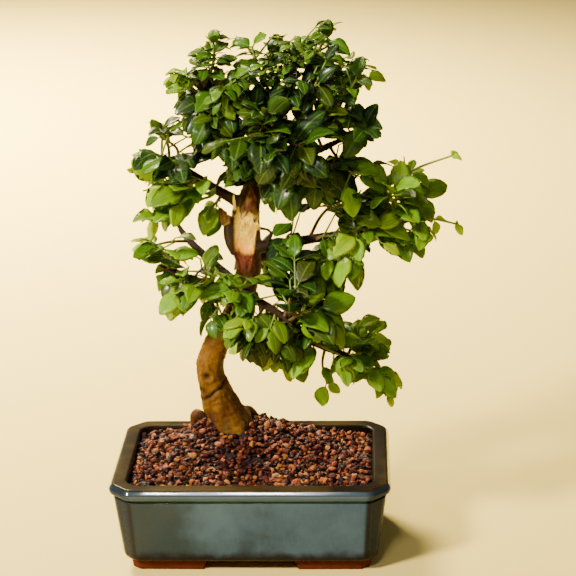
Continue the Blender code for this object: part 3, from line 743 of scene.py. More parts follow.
def metres(parts: int, rows: Rows) -> tuple[tuple[float, ...], ...]:
    """Rows of whole parts of a metre, turned into metres."""
    return tuple(tuple(value / parts for value in row) for row in rows)


def limbs(**lines: Rows) -> dict[str, tuple[Station, ...]]:
    """Limbs by name, from rows of x, y, z and radius in tenths of a millimetre."""
    return {name: metres(TENTHS, rows) for name, rows in lines.items()}


def grid_quads(rows: int, columns: int) -> Array:
    """Faces of a grid whose columns close into a ring.

    Args:
        rows: How many rings it has.
        columns: How many vertices a ring has.

    Returns:
        The quads. Each joins two neighbours of a ring to the same two of the next ring.
    """
    row, column = np.meshgrid(np.arange(rows - 1), np.arange(columns), indexing="ij")
    here = row * columns + column
    beside = row * columns + (column + 1) % columns
    return np.stack((here, beside, beside + columns, here + columns), axis=-1).reshape(-1, 4)


def fan(ring: Array, pole: int) -> Array:
    """Triangles from each side of a ring of vertex numbers to one pole."""
    return np.stack((ring, np.roll(ring, -1), np.full(len(ring), pole)), axis=-1)


def stacked(rings: Array, poles: Array, marks: Marks) -> Sheet:
    """Rings stacked into a skin, closed by a pole at each end.

    Args:
        rings: Places by ring and corner.
        poles: The first ring's pole and the last one's.
        marks: What each vertex keeps, the two poles last.

    Returns:
        The closed skin.
    """
    rows, corners = rings.shape[:2]
    count = rows * corners
    numbers = np.arange(count)
    ends = (fan(numbers[:corners][::-1], count), fan(numbers[-corners:], count + 1))
    places = np.concatenate((rings.reshape(-1, 3), poles))
    return Sheet(places, grid_quads(rows, corners), np.concatenate(ends), None, dict(marks))


def unit(vectors: Array) -> Array:
    """Vectors made one long."""
    return vectors / np.linalg.norm(vectors, axis=-1, keepdims=True)


def eased(values: Array, low: float, high: float) -> Array:
    """A smooth step: 3 t squared less 2 t cubed, where t runs from 0 at low to 1 at high."""
    share = np.clip((values - low) / (high - low), 0.0, 1.0)
    return share * share * (3.0 - 2.0 * share)


def raised_to(flat: Array, height: float) -> Array:
    """Flat points with a height as their third column."""
    return np.column_stack((flat, np.full(len(flat), height)))


def distance(first: Array, second: Array) -> Array:
    """How far places are from others, along the last axis."""
    return np.linalg.norm(first - second, axis=-1)


def bell(values: Array, breadth: float) -> Array:
    """A bell curve: e to the power of less the square of each value over the breadth."""
    return np.exp(-((values / breadth) ** 2))


def lumps(places: Array, size: float, seed: int) -> Array:
    """A smooth random field, mostly between -1 and 1.

    It is a sum of sine waves in random directions. Each is the sine of two pi times the place
    along its direction over its own length, plus a random phase, and the sum is divided by the
    square root of their number.

    Args:
        places: Where the field is read.
        size: The mean length of a wave in metres.
        seed: The seed of the random draws.

    Returns:
        The field at each place.
    """
    draw = np.random.default_rng(seed)
    ways = unit(draw.normal(size=(WAVES, 3))) / (size * draw.uniform(0.7, 1.5, (WAVES, 1)))
    phases = draw.uniform(0.0, 2.0 * math.pi, WAVES)
    return np.sin(2.0 * math.pi * places @ ways.T + phases).sum(axis=1) / math.sqrt(WAVES)


def smooth_line(stations: Array, step: float) -> Array:
    """A smooth curve through stations.

    Between two stations it is the cubic whose slope at each one is half the way between that
    station's neighbours.

    Args:
        stations: The rows that the curve passes through, with any number of columns.
        step: The distance between the curve's points in metres.

    Returns:
        Rows along the curve.
    """
    stations = np.asarray(stations, float)
    spare = np.vstack((2 * stations[0] - stations[1], stations, 2 * stations[-1] - stations[-2]))
    runs = np.linalg.norm(np.diff(stations[:, :3], axis=0), axis=1)
    counts = np.maximum(2, np.ceil(runs / step).astype(int))
    part = np.concatenate([np.full(n, k) for k, n in enumerate(counts)] + [[len(counts) - 1]])
    share = np.concatenate([np.arange(n) / n for n in counts] + [[1.0]])[:, None]
    before, low, high, after = (spare[part + k] for k in range(4))
    slope_low, slope_high = (high - before) / 2.0, (after - low) / 2.0
    square, cube = share**2, share**3
    return (
        low * (2 * cube - 3 * square + 1)
        + slope_low * (cube - 2 * square + share)
        + high * (3 * square - 2 * cube)
        + slope_high * (cube - square)
    )


def tube(line: Array, sides: int, marks: Marks) -> Sheet:
    """A closed tube along a line.

    A ring's vertex lies at the line's place plus the radius times the cosine of its angle along
    one square direction and the sine along the other.

    Args:
        line: Rows of x, y, z and radius.
        sides: How many sides it has.
        marks: What each row's vertices keep.

    Returns:
        The tube, with a pole at each end.
    """
    places, radii = line[:, :3], line[:, 3]
    run = unit(np.gradient(places, axis=0))
    steady = np.eye(3)[np.argmin(np.abs(run.mean(axis=0)))]
    side = unit(np.cross(run, steady))
    other = np.cross(run, side)
    turn = np.linspace(0.0, 2.0 * math.pi, sides, endpoint=False)
    rings = (
        places[:, None]
        + radii[:, None, None] * np.cos(turn)[None, :, None] * side[:, None]
        + radii[:, None, None] * np.sin(turn)[None, :, None] * other[:, None]
    )
    ends = np.stack((places[0] - run[0] * radii[0] * 0.5, places[-1] + run[-1] * radii[-1] * 0.5))
    kept = {k: np.concatenate((np.repeat(v, sides), v[[0, -1]])) for k, v in marks.items()}
    return stacked(rings, ends, kept)


def rounded(points: Array, reaches: Array, steps: int, closed: bool) -> Array:
    """A line with its corners rounded.

    Each corner becomes a curve that starts and ends at its reach from the corner: one less t
    squared times the start, plus 2 t times one less t times the corner, plus t squared times
    the end.

    Args:
        points: The corners, one row each.
        reaches: How far from each corner its curve starts.
        steps: How many points a curve has.
        closed: Whether the last corner leads back to the first.

    Returns:
        The rounded line.
    """
    before, after = np.roll(points, 1, axis=0), np.roll(points, -1, axis=0)
    back, onward = before - points, after - points
    room = 0.48 * np.minimum(np.linalg.norm(back, axis=1), np.linalg.norm(onward, axis=1))
    reach = np.minimum(reaches, room)[:, None]
    start, end = points + unit(back) * reach, points + unit(onward) * reach
    share = np.linspace(0.0, 1.0, steps)[None, :, None]
    curves = (
        start[:, None] * (1 - share) ** 2
        + 2 * points[:, None] * share * (1 - share)
        + end[:, None] * share**2
    )
    if closed:
        return curves.reshape(-1, points.shape[1])
    inner = curves[1:-1].reshape(-1, points.shape[1])
    return np.vstack((points[:1], inner, points[-1:]))


def carve(thing: Thing, tool: Thing, operation: str) -> None:
    """Cuts or joins an object with another, bakes the result and removes the other.

    Args:
        thing: What is changed.
        tool: What cuts it or joins it.
        operation: The kind of Boolean.
    """
    modifier = thing.modifiers.new("carve", "BOOLEAN")
    modifier.operation = operation
    modifier.solver = "EXACT"
    modifier.object = tool
    bake(thing)
    bpy.data.objects.remove(tool, do_unlink=True)


def bake(thing: Thing) -> None:
    """Turns an object's modifiers into its mesh.

    Args:
        thing: The object, whose mesh is replaced.
    """
    bpy.context.view_layer.update()
    evaluated = thing.evaluated_get(bpy.context.evaluated_depsgraph_get())
    mesh = bpy.data.meshes.new_from_object(evaluated)
    thing.modifiers.clear()
    thing.data = mesh


def settle(thing: Thing, slot: str, *nodes: str) -> None:
    """Makes an object ride with the pot, and hides the solids that it stands for.

    Args:
        thing: The finished piece.
        slot: The record's material slot. It is not used.
        nodes: The solids that it replaces.
    """
    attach(thing, "root")
    if nodes:
        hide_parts(*nodes)
    LOG.info("%s: %d faces", thing.name, len(thing.data.polygons))


@dataclass
class Pot:
    """The glazed pot: canted, tapered body, groove, banded rim, feet and drainage holes."""

    length: float = 0.210
    depth: float = 0.143
    height: float = 0.070
    corner_cut: float = 0.0145
    corner_soft: float = 0.0042
    inner_soft: float = 0.0100
    foot_height: float = 0.0076
    foot_length: float = 0.0565
    foot_depth: float = 0.034
    foot_inset: float = 0.0148
    foot_soft: float = 0.0018
    # Heights in a foot's lower edge, with how far it is drawn in there.
    foot_edge: tuple[Span, ...] = ((0.0, 0.0018), (0.0006, 0.0012), (0.0016, 0.0010))
    foot_below: float = 0.001
    foot_sunk: float = 0.002
    base_round: float = 0.0058
    floor_top: float = 0.017
    base_inset: float = 0.0100
    panel_inset: float = 0.0038
    panel_top: float = 0.0588
    groove_inset: float = 0.0050
    band_bottom: float = 0.0612
    band_foot_inset: float = 0.0014
    rim_slope: float = 0.0044
    rim_outer_inset: float = 0.0032
    rim_inner_inset: float = 0.0125
    wall_top_inset: float = 0.0138
    wall_foot_inset: float = 0.0170
    drain_radius: float = 0.006
    drain_spacing: float = 0.090
    drain_from: float = -0.01
    drain_to: float = 0.03
    drain_sides: int = 24
    crease_deg: float = 38.0
    # The corner mark darkens the vertical corners; the cant and inside marks carry painted shade on
    # the cut corner faces and the inner walls.
    marks: tuple[str, str, str] = ("corner", "cant", "inside")
    curve_steps: int = 6
    run_steps: int = 5
    finish: GlazeFinish = GlazeFinish()

    def halves(self, inset: float) -> Triple:
        """Half the length and half the depth at an inset, and what the corners lose there."""
        cut = self.corner_cut - inset * (2.0 - math.sqrt(2.0))
        return self.length / 2 - inset, self.depth / 2 - inset, cut

    def outline(self, inset: float, soft: float) -> tuple[Array, Array]:
        """A rectangle with cut, rounded corners.

        Args:
            inset: How far it is drawn in from the pot's outline.
            soft: How far from each corner its rounding starts.

        Returns:
            The outline's points, and how near each is to the middle of a rounding, 0 to 1.
        """
        half_x, half_y, cut = self.halves(inset)
        quarter = np.array(((half_x, half_y - cut), (half_x - cut, half_y)))
        back = quarter[::-1]
        corners = np.concatenate((quarter, back * (-1, 1), quarter * (-1, -1), back * (1, -1)))
        curves = rounded(corners, np.full(8, soft), self.curve_steps, True)
        curves = curves.reshape(8, self.curve_steps, 2)
        share = np.linspace(0.0, 1.0, self.run_steps + 2)[1:-1]
        share = (0.5 - 0.5 * np.cos(math.pi * share))[None, :, None]
        onward = np.roll(curves[:, 0], -1, axis=0)
        runs = curves[:, -1:] * (1 - share) + onward[:, None] * share
        near = np.sin(np.linspace(0.0, math.pi, self.curve_steps))
        nearness = np.concatenate((near, np.zeros(self.run_steps)))
        return np.concatenate((curves, runs), axis=1).reshape(-1, 2), np.tile(nearness, 8)

    def cants(self) -> Array:
        """How much each point of an outline is on a cut corner's face, 0 to 1, where the glaze
        paints shade.
        """
        rise = np.linspace(0.0, 1.0, self.curve_steps)
        run = np.ones(self.run_steps)
        return np.tile(np.concatenate((rise, run, rise[::-1], run * 0.0)), 4)

    def profile(self) -> Array:
        """Insets and heights from the base's middle, up outside, over the rim and down inside."""
        base = self.foot_height
        corners = np.array(
            (
                (self.base_inset + 0.0125, base, 0.0),
                (self.base_inset, base, self.base_round),
                (self.panel_inset, self.panel_top, 0.0007),
                (self.groove_inset, self.panel_top + 0.0006, 0.0003),
                (self.groove_inset, self.band_bottom, 0.0003),
                (self.band_foot_inset, self.band_bottom + 0.0007, 0.0007),
                (0.0, self.height - self.rim_slope, 0.0016),
                (self.rim_outer_inset, self.height, 0.0012),
                (self.rim_inner_inset, self.height - 0.0002, 0.0009),
                (self.wall_top_inset, self.height - 0.0016, 0.0010),
                (self.wall_foot_inset, self.floor_top, 0.0),
            )
        )
        return rounded(corners[:, :2], corners[:, 2], self.curve_steps, False)

    def body(self) -> Sheet:
        """The pot without feet or holes.

        Each row of the profile carries the outline at its inset. The rounding grows from the
        outer softness to the inner one between the rim's two edges.

        Returns:
            The closed body, with the corner mark.
        """
        rows = self.profile()
        inward = eased(rows[:, 0], self.rim_outer_inset + 0.004, self.rim_inner_inset)
        inward *= rows[:, 1] > self.panel_top
        softs = self.corner_soft + inward * (self.inner_soft - self.corner_soft)
        rings, marks = [], []
        for (inset, height), soft in zip(rows, softs):
            flat, near = self.outline(inset, soft)
            rings.append(raised_to(flat, height))
            outside = inset < self.base_inset + 0.002 and height < self.height - 0.0005
            # The inside mark covers the inner walls, where the glaze paints shade.
            within = inset > self.rim_inner_inset + 0.0002 and height > self.floor_top - 0.001
            wall = np.full(len(flat), float(within))
            marks.append(np.stack((near * outside, self.cants() * outside, wall)))
        marks.append(np.array(((0.0, 0.0), (0.0, 0.0), (0.0, 1.0))))
        poles = np.array(((0.0, 0.0, self.foot_height), (0.0, 0.0, self.floor_top)))
        kept = dict(zip(self.marks, np.concatenate(marks, axis=1)))
        return stacked(np.array(rings), poles, kept)

    def foot(self, side_x: int, side_y: int) -> Sheet:
        """One foot, under a corner, with its upper end sunk in the body.

        Args:
            side_x: 1 for the right end, -1 for the left.
            side_y: 1 for the back, -1 for the front.

        Returns:
            A closed block that follows the pot's corner.
        """
        half_x, half_y, cut = self.halves(self.foot_inset)
        near_x, near_y = half_x - self.foot_length, half_y - self.foot_depth
        front = ((near_x, near_y), (half_x, near_y), (half_x, half_y - cut))
        corners = np.array((*front, (half_x - cut, half_y), (near_x, half_y))) * (side_x, side_y)
        if side_x * side_y < 0:
            corners = corners[::-1]
        tops = (self.foot_height - self.foot_below, self.foot_height + self.foot_sunk)
        levels = (*self.foot_edge, *((top, 0.0) for top in tops))
        middle = corners.mean(axis=0)
        flat = rounded(corners, np.full(len(corners), self.foot_soft), 4, True)
        away = unit(flat - middle)
        rings = [raised_to(flat - away * taper, height) for height, taper in levels]
        poles = np.array(((*middle, 0.0), (*middle, levels[-1][0])))
        blank = np.zeros(len(rings) * len(flat) + 2)
        return stacked(np.array(rings), poles, {key: blank for key in self.marks})

    def build(self) -> None:
        """Builds and dresses the pot."""
        material = self.finish.dress()
        thing = self.body().build("glazed_pot", material)
        for side_x in (-1, 1):
            for side_y in (-1, 1):
                carve(thing, self.foot(side_x, side_y).build("foot", material), "UNION")
        plain = {key: np.zeros(5) for key in self.marks}
        for x in (-self.drain_spacing / 2, self.drain_spacing / 2):
            heights = np.linspace(self.drain_from, self.drain_to, 5)
            line = np.array([(x, 0.0, z, self.drain_radius) for z in heights])
            drain = tube(line, self.drain_sides, plain).build("drain", material)
            carve(thing, drain, "DIFFERENCE")
        thing.data.shade_smooth()
        thing.data.set_sharp_from_angle(angle=math.radians(self.crease_deg))
        settle(thing, "glazed_clay", "pot")


@dataclass
class Screens:
    """The two drainage screens, which keep their packed form."""

    nodes: tuple[str, str] = ("screen_left", "screen_right")
    finish: ScreenFinish = ScreenFinish()

    def dress(self) -> None:
        """Gives both screens their plastic."""
        plastic = self.finish.dress()
        for name in self.nodes:
            mesh = frame["nodes"][name].data
            mesh.materials.clear()
            mesh.materials.append(plastic)
            LOG.info("%s: dressed", name)


TRUNK: tuple[Station, ...] = metres(
    TENTHS,
    (
        (-120, 160, 560, 105), (-130, 160, 740, 152), (-150, 160, 860, 155), (-200, 150, 970, 134),
        (-258, 140, 1090, 128), (-305, 130, 1240, 110), (-320, 120, 1400, 102),
        (-270, 120, 1540, 98), (-180, 120, 1680, 96), (-70, 120, 1890, 92), (-10, 120, 2130, 92),
        (-20, 120, 2360, 112), (-20, 140, 2560, 102), (30, 150, 2760, 76), (120, 100, 3060, 58),
        (240, 50, 3360, 44), (340, 20, 3600, 30),
    ),
)

ROOTS: Mapping[str, tuple[Station, ...]] = limbs(
    left_root=(
        (-240, 200, 875, 55), (-350, 225, 880, 36), (-443, 240, 928, 40), (-472, 255, 840, 30),
    ),
    right_root=((-140, 220, 880, 60), (-56, 335, 918, 42), (20, 400, 830, 30)),
    front_root=((-180, 130, 940, 92), (-130, 70, 870, 70), (-80, 20, 770, 50), (-60, -10, 670, 42)),
)

# The spike, the stub, the strip of bark and the hooked twig at the old cut.
CUT_PARTS: Mapping[str, tuple[Station, ...]] = limbs(
    spike=((-20, 80, 2460, 92), (10, 20, 2600, 70), (30, -10, 2710, 44), (40, -20, 2810, 12)),
    strip=((-110, 70, 2280, 24), (-135, 50, 2360, 32), (-150, 40, 2440, 34), (-155, 50, 2530, 26)),
    stub=((-80, 110, 2460, 58), (-170, 70, 2550, 40), (-220, 50, 2620, 28)),
    pale_stub=((-90, 40, 2580, 16), (-99, 20, 2745, 10)),
    hook=(
        (40, 60, 2475, 22), (110, 10, 2490, 13), (160, -10, 2480, 12), (172, -20, 2440, 11),
        (135, -30, 2400, 9),
    ),
)

BRANCHES: Mapping[str, tuple[Station, ...]] = limbs(
    left_low=(
        (-100, 120, 1880, 62), (-280, 60, 1990, 46), (-480, 20, 2120, 36), (-660, -20, 2220, 26),
    ),
    left_back=(
        (-80, 120, 2000, 58), (-300, 320, 2140, 42), (-500, 500, 2280, 32), (-600, 620, 2400, 24),
    ),
    right_low=(
        (-140, 120, 1760, 64), (80, -20, 1760, 52), (340, -100, 1700, 42), (600, -140, 1600, 34),
        (840, -140, 1500, 24),
    ),
    front_low=(
        (-80, 100, 1970, 56), (60, -160, 1990, 42), (220, -400, 1980, 34), (340, -580, 1940, 24),
    ),
    back_low=(
        (-50, 140, 2060, 58), (20, 360, 2160, 44), (100, 580, 2220, 34), (160, 760, 2260, 24),
    ),
    right_back=(
        (-40, 140, 2220, 60), (260, 300, 2200, 44), (540, 440, 2140, 34), (780, 540, 2080, 24),
    ),
    right_middle=(
        (-30, 120, 2300, 64), (220, 40, 2360, 50), (520, 0, 2420, 42), (840, -20, 2480, 34),
        (1120, -40, 2540, 24),
    ),
    left_middle=(
        (-10, 140, 2620, 60), (-240, 80, 2780, 44), (-450, 20, 2940, 34), (-610, -20, 3040, 24),
    ),
    back_middle=(
        (40, 150, 2800, 52), (40, 340, 2940, 40), (40, 540, 3040, 32), (20, 700, 3080, 24),
    ),
    right_upper=(
        (60, 130, 2880, 54), (280, 60, 2980, 42), (520, 0, 3080, 34), (760, -40, 3200, 24),
    ),
    front_upper=(
        (100, 110, 3000, 48), (180, -120, 3100, 38), (240, -340, 3160, 30), (280, -520, 3180, 22),
    ),
    left_upper=(
        (130, 100, 3080, 46), (-60, 40, 3300, 36), (-220, 0, 3480, 28), (-340, -20, 3600, 22),
    ),
    right_top=((220, 60, 3300, 40), (400, 100, 3460, 32), (580, 120, 3580, 24)),
)


@dataclass(frozen=True)
class Dent:
    """A dent with a raised lip: two bell curves of the distance from its middle."""

    depth: float
    breadth: float
    lip: float
    lip_place: float
    lip_breadth: float

    def lift(self, away: Array) -> Array:
        """How far the bark is raised at each distance."""
        lip = self.lip * bell(away - self.lip_place, self.lip_breadth)
        return -self.depth * bell(away, self.breadth) + lip


@dataclass
class Tree:
    """Roots, trunk, old cut and branches, cast as one skin of wood.

    A relief, a wander or a ragged edge is a pair: the height of a random field and the breadth
    of its waves. Two limits run from where a form starts to where it is full.
    """

    branch_taper: float = 0.40
    branch_girth: float = 0.82
    step: float = 0.0015
    sides: int = 20
    voxel: float = 0.00090
    smoothing: int = 4
    knot: Triple = (-0.0336, 0.0020, 0.1321)
    knot_dent: Dent = Dent(0.0016, 0.0023, 0.0008, 0.0048, 0.0015)
    scar_dent: Dent = Dent(0.0012, 0.0016, 0.0012, 0.0, 0.0035)
    crease_dent: Dent = Dent(0.0013, 0.0011, 0.0005, 0.0030, 0.0014)
    scar_dark: Span = (0.6, 0.0020)
    # How dark the painted shade in the creases is.
    crease_shade: float = 0.9
    crease_wander: Span = (0.0006, 0.006)
    scars: tuple[Triple, ...] = (
        (-0.0123, 0.0030, 0.1690),
        (-0.0186, 0.0025, 0.1558),
    )
    creases: tuple[tuple[Triple, ...], ...] = tuple(
        metres(TENTHS, rows)
        for rows in (
            (
                (-395, 120, 1085), (-377, 79, 1111), (-347, 39, 1139), (-312, 20, 1163),
                (-273, 19, 1204), (-245, 31, 1219), (-220, 49, 1228), (-202, 98, 1267),
            ),
            ((-379, 91, 1090), (-355, 80, 1010), (-335, 75, 930)),
            ((-180, 40, 1170), (-110, 30, 1040), (-50, 60, 940)),
        )
    )
    # Painted shade: a dark patch in the hollow beside the left root's knob, with its breadth and
    # darkness.
    hollow: Triple = (-0.0400, 0.0190, 0.0925)
    hollow_breadth: float = 0.0034
    hollow_shade: float = 0.75
    # The bark's swells: height, breadth, how much they are stretched upright, and the share
    # that the thinnest wood has.
    swells: tuple[tuple[float, float, float, float], ...] = (
        (0.00055, 0.0110, 0.55, 0.0),
        (0.00022, 0.0042, 1.00, 0.3),
        (0.00010, 0.0019, 1.00, 1.0),
    )
    fold_rise: float = 0.0007
    fold_top: Span = (0.118, 0.106)
    fold_foot: Span = (0.085, 0.100)
    torn_near: Span = (0.0085, 0.0065)
    torn_from: Span = (0.256, 0.262)
    knob_near: Span = (0.0062, 0.0048)
    knob_from: Span = (-0.0125, -0.0150)
    pale_near: Span = (0.0026, 0.0018)
    pale_from: Span = (0.2620, 0.2640)
    torn_relief: Span = (0.0007, 0.0030)
    # Where the painted shade on the right side starts and is full: by the normal's x, and by the
    # limb's radius.
    right_shade_turn: Span = (0.10, 0.80)
    right_shade_girth: Span = (0.006, 0.009)
    wound_low: float = 0.2170
    wound_high: float = 0.2590
    wound_flat: float = 0.46
    wound_turn: float = -0.48
    wound_lean: float = 0.18
    wound_left: Span = (-0.82, -0.70)
    wound_right: Span = (1.10, 0.98)
    ragged: Span = (0.0035, 0.0045)
    splinter: float = 0.0031
    splinter_drift: float = 900.0
    splinter_depth: float = 0.0006
    splinter_relief: Span = (0.0005, 0.0035)
    least_cut: float = -0.0008
    finish: BarkFinish = BarkFinish()

    def lines(self) -> Iterator[Array]:
        """Smooth lines of x, y, z and radius for the trunk and all that grows from it."""
        for stations in (TRUNK, *ROOTS.values(), *CUT_PARTS.values()):
            yield smooth_line(np.array(stations), self.step)
        for stations in BRANCHES.values():
            line = smooth_line(np.array(stations), self.step)
            share = np.linspace(0.0, 1.0, len(line))
            line[:, 3] *= self.branch_girth * (1.0 - self.branch_taper * eased(share, 0.75, 1.0))
            yield line

    def cast(self, material: Material) -> Thing:
        """Melts all the limbs into one even skin.

        Args:
            material: The bark.

        Returns:
            The object, before its bark has any relief.
        """
        limbs = joined([tube(line, self.sides, {}) for line in self.lines()])
        thing = limbs.build("privet_tree", material)
        remesh = thing.modifiers.new("skin", "REMESH")
        remesh.mode = "VOXEL"
        remesh.voxel_size = self.voxel
        smooth = thing.modifiers.new("smooth", "SMOOTH")
        smooth.iterations = self.smoothing
        smooth.factor = 0.5
        bake(thing)
        self.drop_bubbles(thing.data)
        return thing

    def drop_bubbles(self, mesh: Mesh) -> None:
        """Removes what isn't joined to the skin, such as hollows inside the wood.

        Args:
            mesh: The skin, of which the largest part stays.
        """
        edges = np.zeros(len(mesh.edges) * 2, np.int32)
        mesh.edges.foreach_get("vertices", edges)
        edges = edges.reshape(-1, 2)
        part = np.arange(len(mesh.vertices))
        while True:
            least = part.copy()
            np.minimum.at(least, edges[:, 0], part[edges[:, 1]])
            np.minimum.at(least, edges[:, 1], part[edges[:, 0]])
            least = least[least]
            if (least == part).all():
                break
            part = least
        main_part = np.bincount(part).argmax()
        shape = bmesh.new()
        shape.from_mesh(mesh)
        shape.verts.ensure_lookup_table()
        loose = [shape.verts[k] for k in np.nonzero(part != main_part)[0]]
        bmesh.ops.delete(shape, geom=loose, context="VERTS")
        shape.to_mesh(mesh)
        shape.free()

    def nearest(self, places: Array) -> tuple[Array, Array]:
        """The middle line's nearest row for each place.

        Args:
            places: Places in the pot's own frame.

        Returns:
            The rows of x, y, z and radius, and the distance to each one's surface.
        """
        rows = np.vstack(list(self.lines()))
        best = np.full(len(places), np.inf)
        found = np.zeros(len(places), int)
        for number, row in enumerate(rows):
            gap = distance(places, row[:3]) - row[3]
            nearer = gap < best
            best[nearer] = gap[nearer]
            found[nearer] = number
        return rows[found], best

    def to_line(self, places: Array, line: Array) -> Array:
        """Each place's distance to a line of points joined by straight runs.

        Args:
            places: The places.
            line: The points, one row each.

        Returns:
            The distance of each place.
        """
        best = np.full(len(places), np.inf)
        for low, high in zip(line[:-1], line[1:]):
            run = high - low
            share = np.clip((places - low) @ run / (run @ run), 0.0, 1.0)
            best = np.minimum(best, np.linalg.norm(places - low - share[:, None] * run, axis=1))
        return best

    def wound(self, places: Array, trunk: Array) -> tuple[Array, Array]:
        """Splits the trunk's front open to bare wood.

        In front of a plane that lies wound_flat radii before the middle line, turned to the left
        and leaned back by two slopes, places are drawn back to the plane, which has upright
        splinters: a sine across the trunk whose height follows a random field.

        Args:
            places: Places in the pot's own frame.
            trunk: The trunk's row of x, y, z and radius for each place.

        Returns:
            How far each place moves back, and how much it is bare wood, 0 to 1.
        """
        level, across = places[:, 2], places[:, 0] - trunk[:, 0]
        ragged = self.ragged[0] * lumps(places * (1.0, 0.0, 0.15), self.ragged[1], 5)
        low = eased(level + ragged, self.wound_low - 0.004, self.wound_low + 0.002)
        high = eased(level + ragged, self.wound_high + 0.002, self.wound_high - 0.002)
        plane = trunk[:, 1] - self.wound_flat * trunk[:, 3]
        plane += self.wound_turn * across
        plane += self.wound_lean * (level - (self.wound_low + self.wound_high) / 2)
        before = eased(plane - places[:, 1], -0.0012, 0.0006)
        side = across / trunk[:, 3]
        within = eased(side, *self.wound_left) * eased(side, *self.wound_right)
        turns = places[:, 0] * 2.0 * math.pi / self.splinter + ragged * self.splinter_drift
        relief, size = self.splinter_relief
        depth = self.splinter_depth * np.sin(turns)
        depth = depth + relief * lumps(places * (1.0, 1.0, 0.2), size, 9)
        bare = low * high * within * before
        return bare * np.maximum(plane - places[:, 1] + depth, self.least_cut), bare

    def weather(self, thing: Thing) -> None:
        """Gives the skin its knot, crease, scars, bare wood and bark relief, and its marks.

        Args:
            thing: The cast skin, whose vertices move along their normals.
        """
        mesh = thing.data
        places, normals = vertex_vectors(mesh) - POT_PLACE, vertex_vectors(mesh, "normal")
        rows, _ = self.nearest(places)
        girth = rows[:, 3]
        stout = eased(girth, 0.002, 0.012)
        raised = np.zeros(len(places))
        for number, (rise, size, stretch, least) in enumerate(self.swells, 1):
            share = least + (1.0 - least) * stout
            raised += rise * share * lumps(places * (1.0, 1.0, stretch), size, number)
        from_knot = distance(places, self.knot)
        raised += self.knot_dent.lift(from_knot)
        dark = bell(from_knot, self.knot_dent.breadth)
        scar_dark, scar_breadth = self.scar_dark
        for scar in self.scars:
            from_scar = distance(places, scar)
            raised += self.scar_dent.lift(from_scar)
            dark = np.maximum(dark, scar_dark * bell(from_scar, scar_breadth))
        wander, size = self.crease_wander
        wavy = places + wander * lumps(places, size, 4)[:, None]
        from_crease = np.min([self.to_line(wavy, np.array(line)) for line in self.creases], axis=0)
        groove = bell(from_crease, self.crease_dent.breadth)
        raised += self.crease_dent.lift(from_crease)
        height = places[:, 2]
        raised += self.fold_rise * eased(height, *self.fold_top) * eased(height, *self.fold_foot)
        # Painted shade in the hollow and in the creases.
        from_hollow = distance(places, self.hollow) / self.hollow_breadth
        hollow = self.hollow_shade * eased(from_hollow, 1.9, 0.8)
        dark = np.maximum(dark, np.maximum(self.crease_shade * groove, hollow))
        back, bare = self.wound(places, self.trunk_rows(height))
        spike, stub, pale = (
            self.to_line(places, np.array(CUT_PARTS[name])[first:, :3])
            for name, first in (("spike", 0), ("stub", 1), ("pale_stub", 0))
        )
        torn = eased(spike, *self.torn_near) * eased(height, *self.torn_from)
        knob = eased(stub, *self.knob_near) * eased(places[:, 0], *self.knob_from)
        pale = eased(pale, *self.pale_near) * eased(height, *self.pale_from)
        rise, size = self.torn_relief
        raised += (torn + knob) * rise * lumps(places * (1.0, 1.0, 0.35), size, 6)
        places = places + normals * raised[:, None]
        places[:, 1] += back
        rot = torn * (0.95 + 0.1 * lumps(places, 0.006, 7)) + knob * 0.9
        mesh.vertices.foreach_set("co", (places + POT_PLACE).ravel())
        marks = {"girth": girth, "crease": dark, "rot": np.clip(rot, 0.0, 1.0)}
        marks["wound"] = np.maximum.reduce((bare, torn, knob, pale))
        # Painted shade on the side that faces +x, away from the key light.
        marks["right_shade"] = eased(normals[:, 0], *self.right_shade_turn) * eased(girth, *self.right_shade_girth)
        keep_marks(mesh, marks)
        mesh.update()

    def trunk_rows(self, heights: Array) -> Array:
        """The trunk's row of x, y, z and radius at each height."""
        trunk = np.array(TRUNK)
        return np.column_stack([np.interp(heights, trunk[:, 2], column) for column in trunk.T])

    def build(self) -> None:
        """Builds and dresses the tree."""
        thing = self.cast(self.finish.dress())
        self.weather(thing)
        thing.data.shade_smooth()
        settle(thing, "bark", "tree")


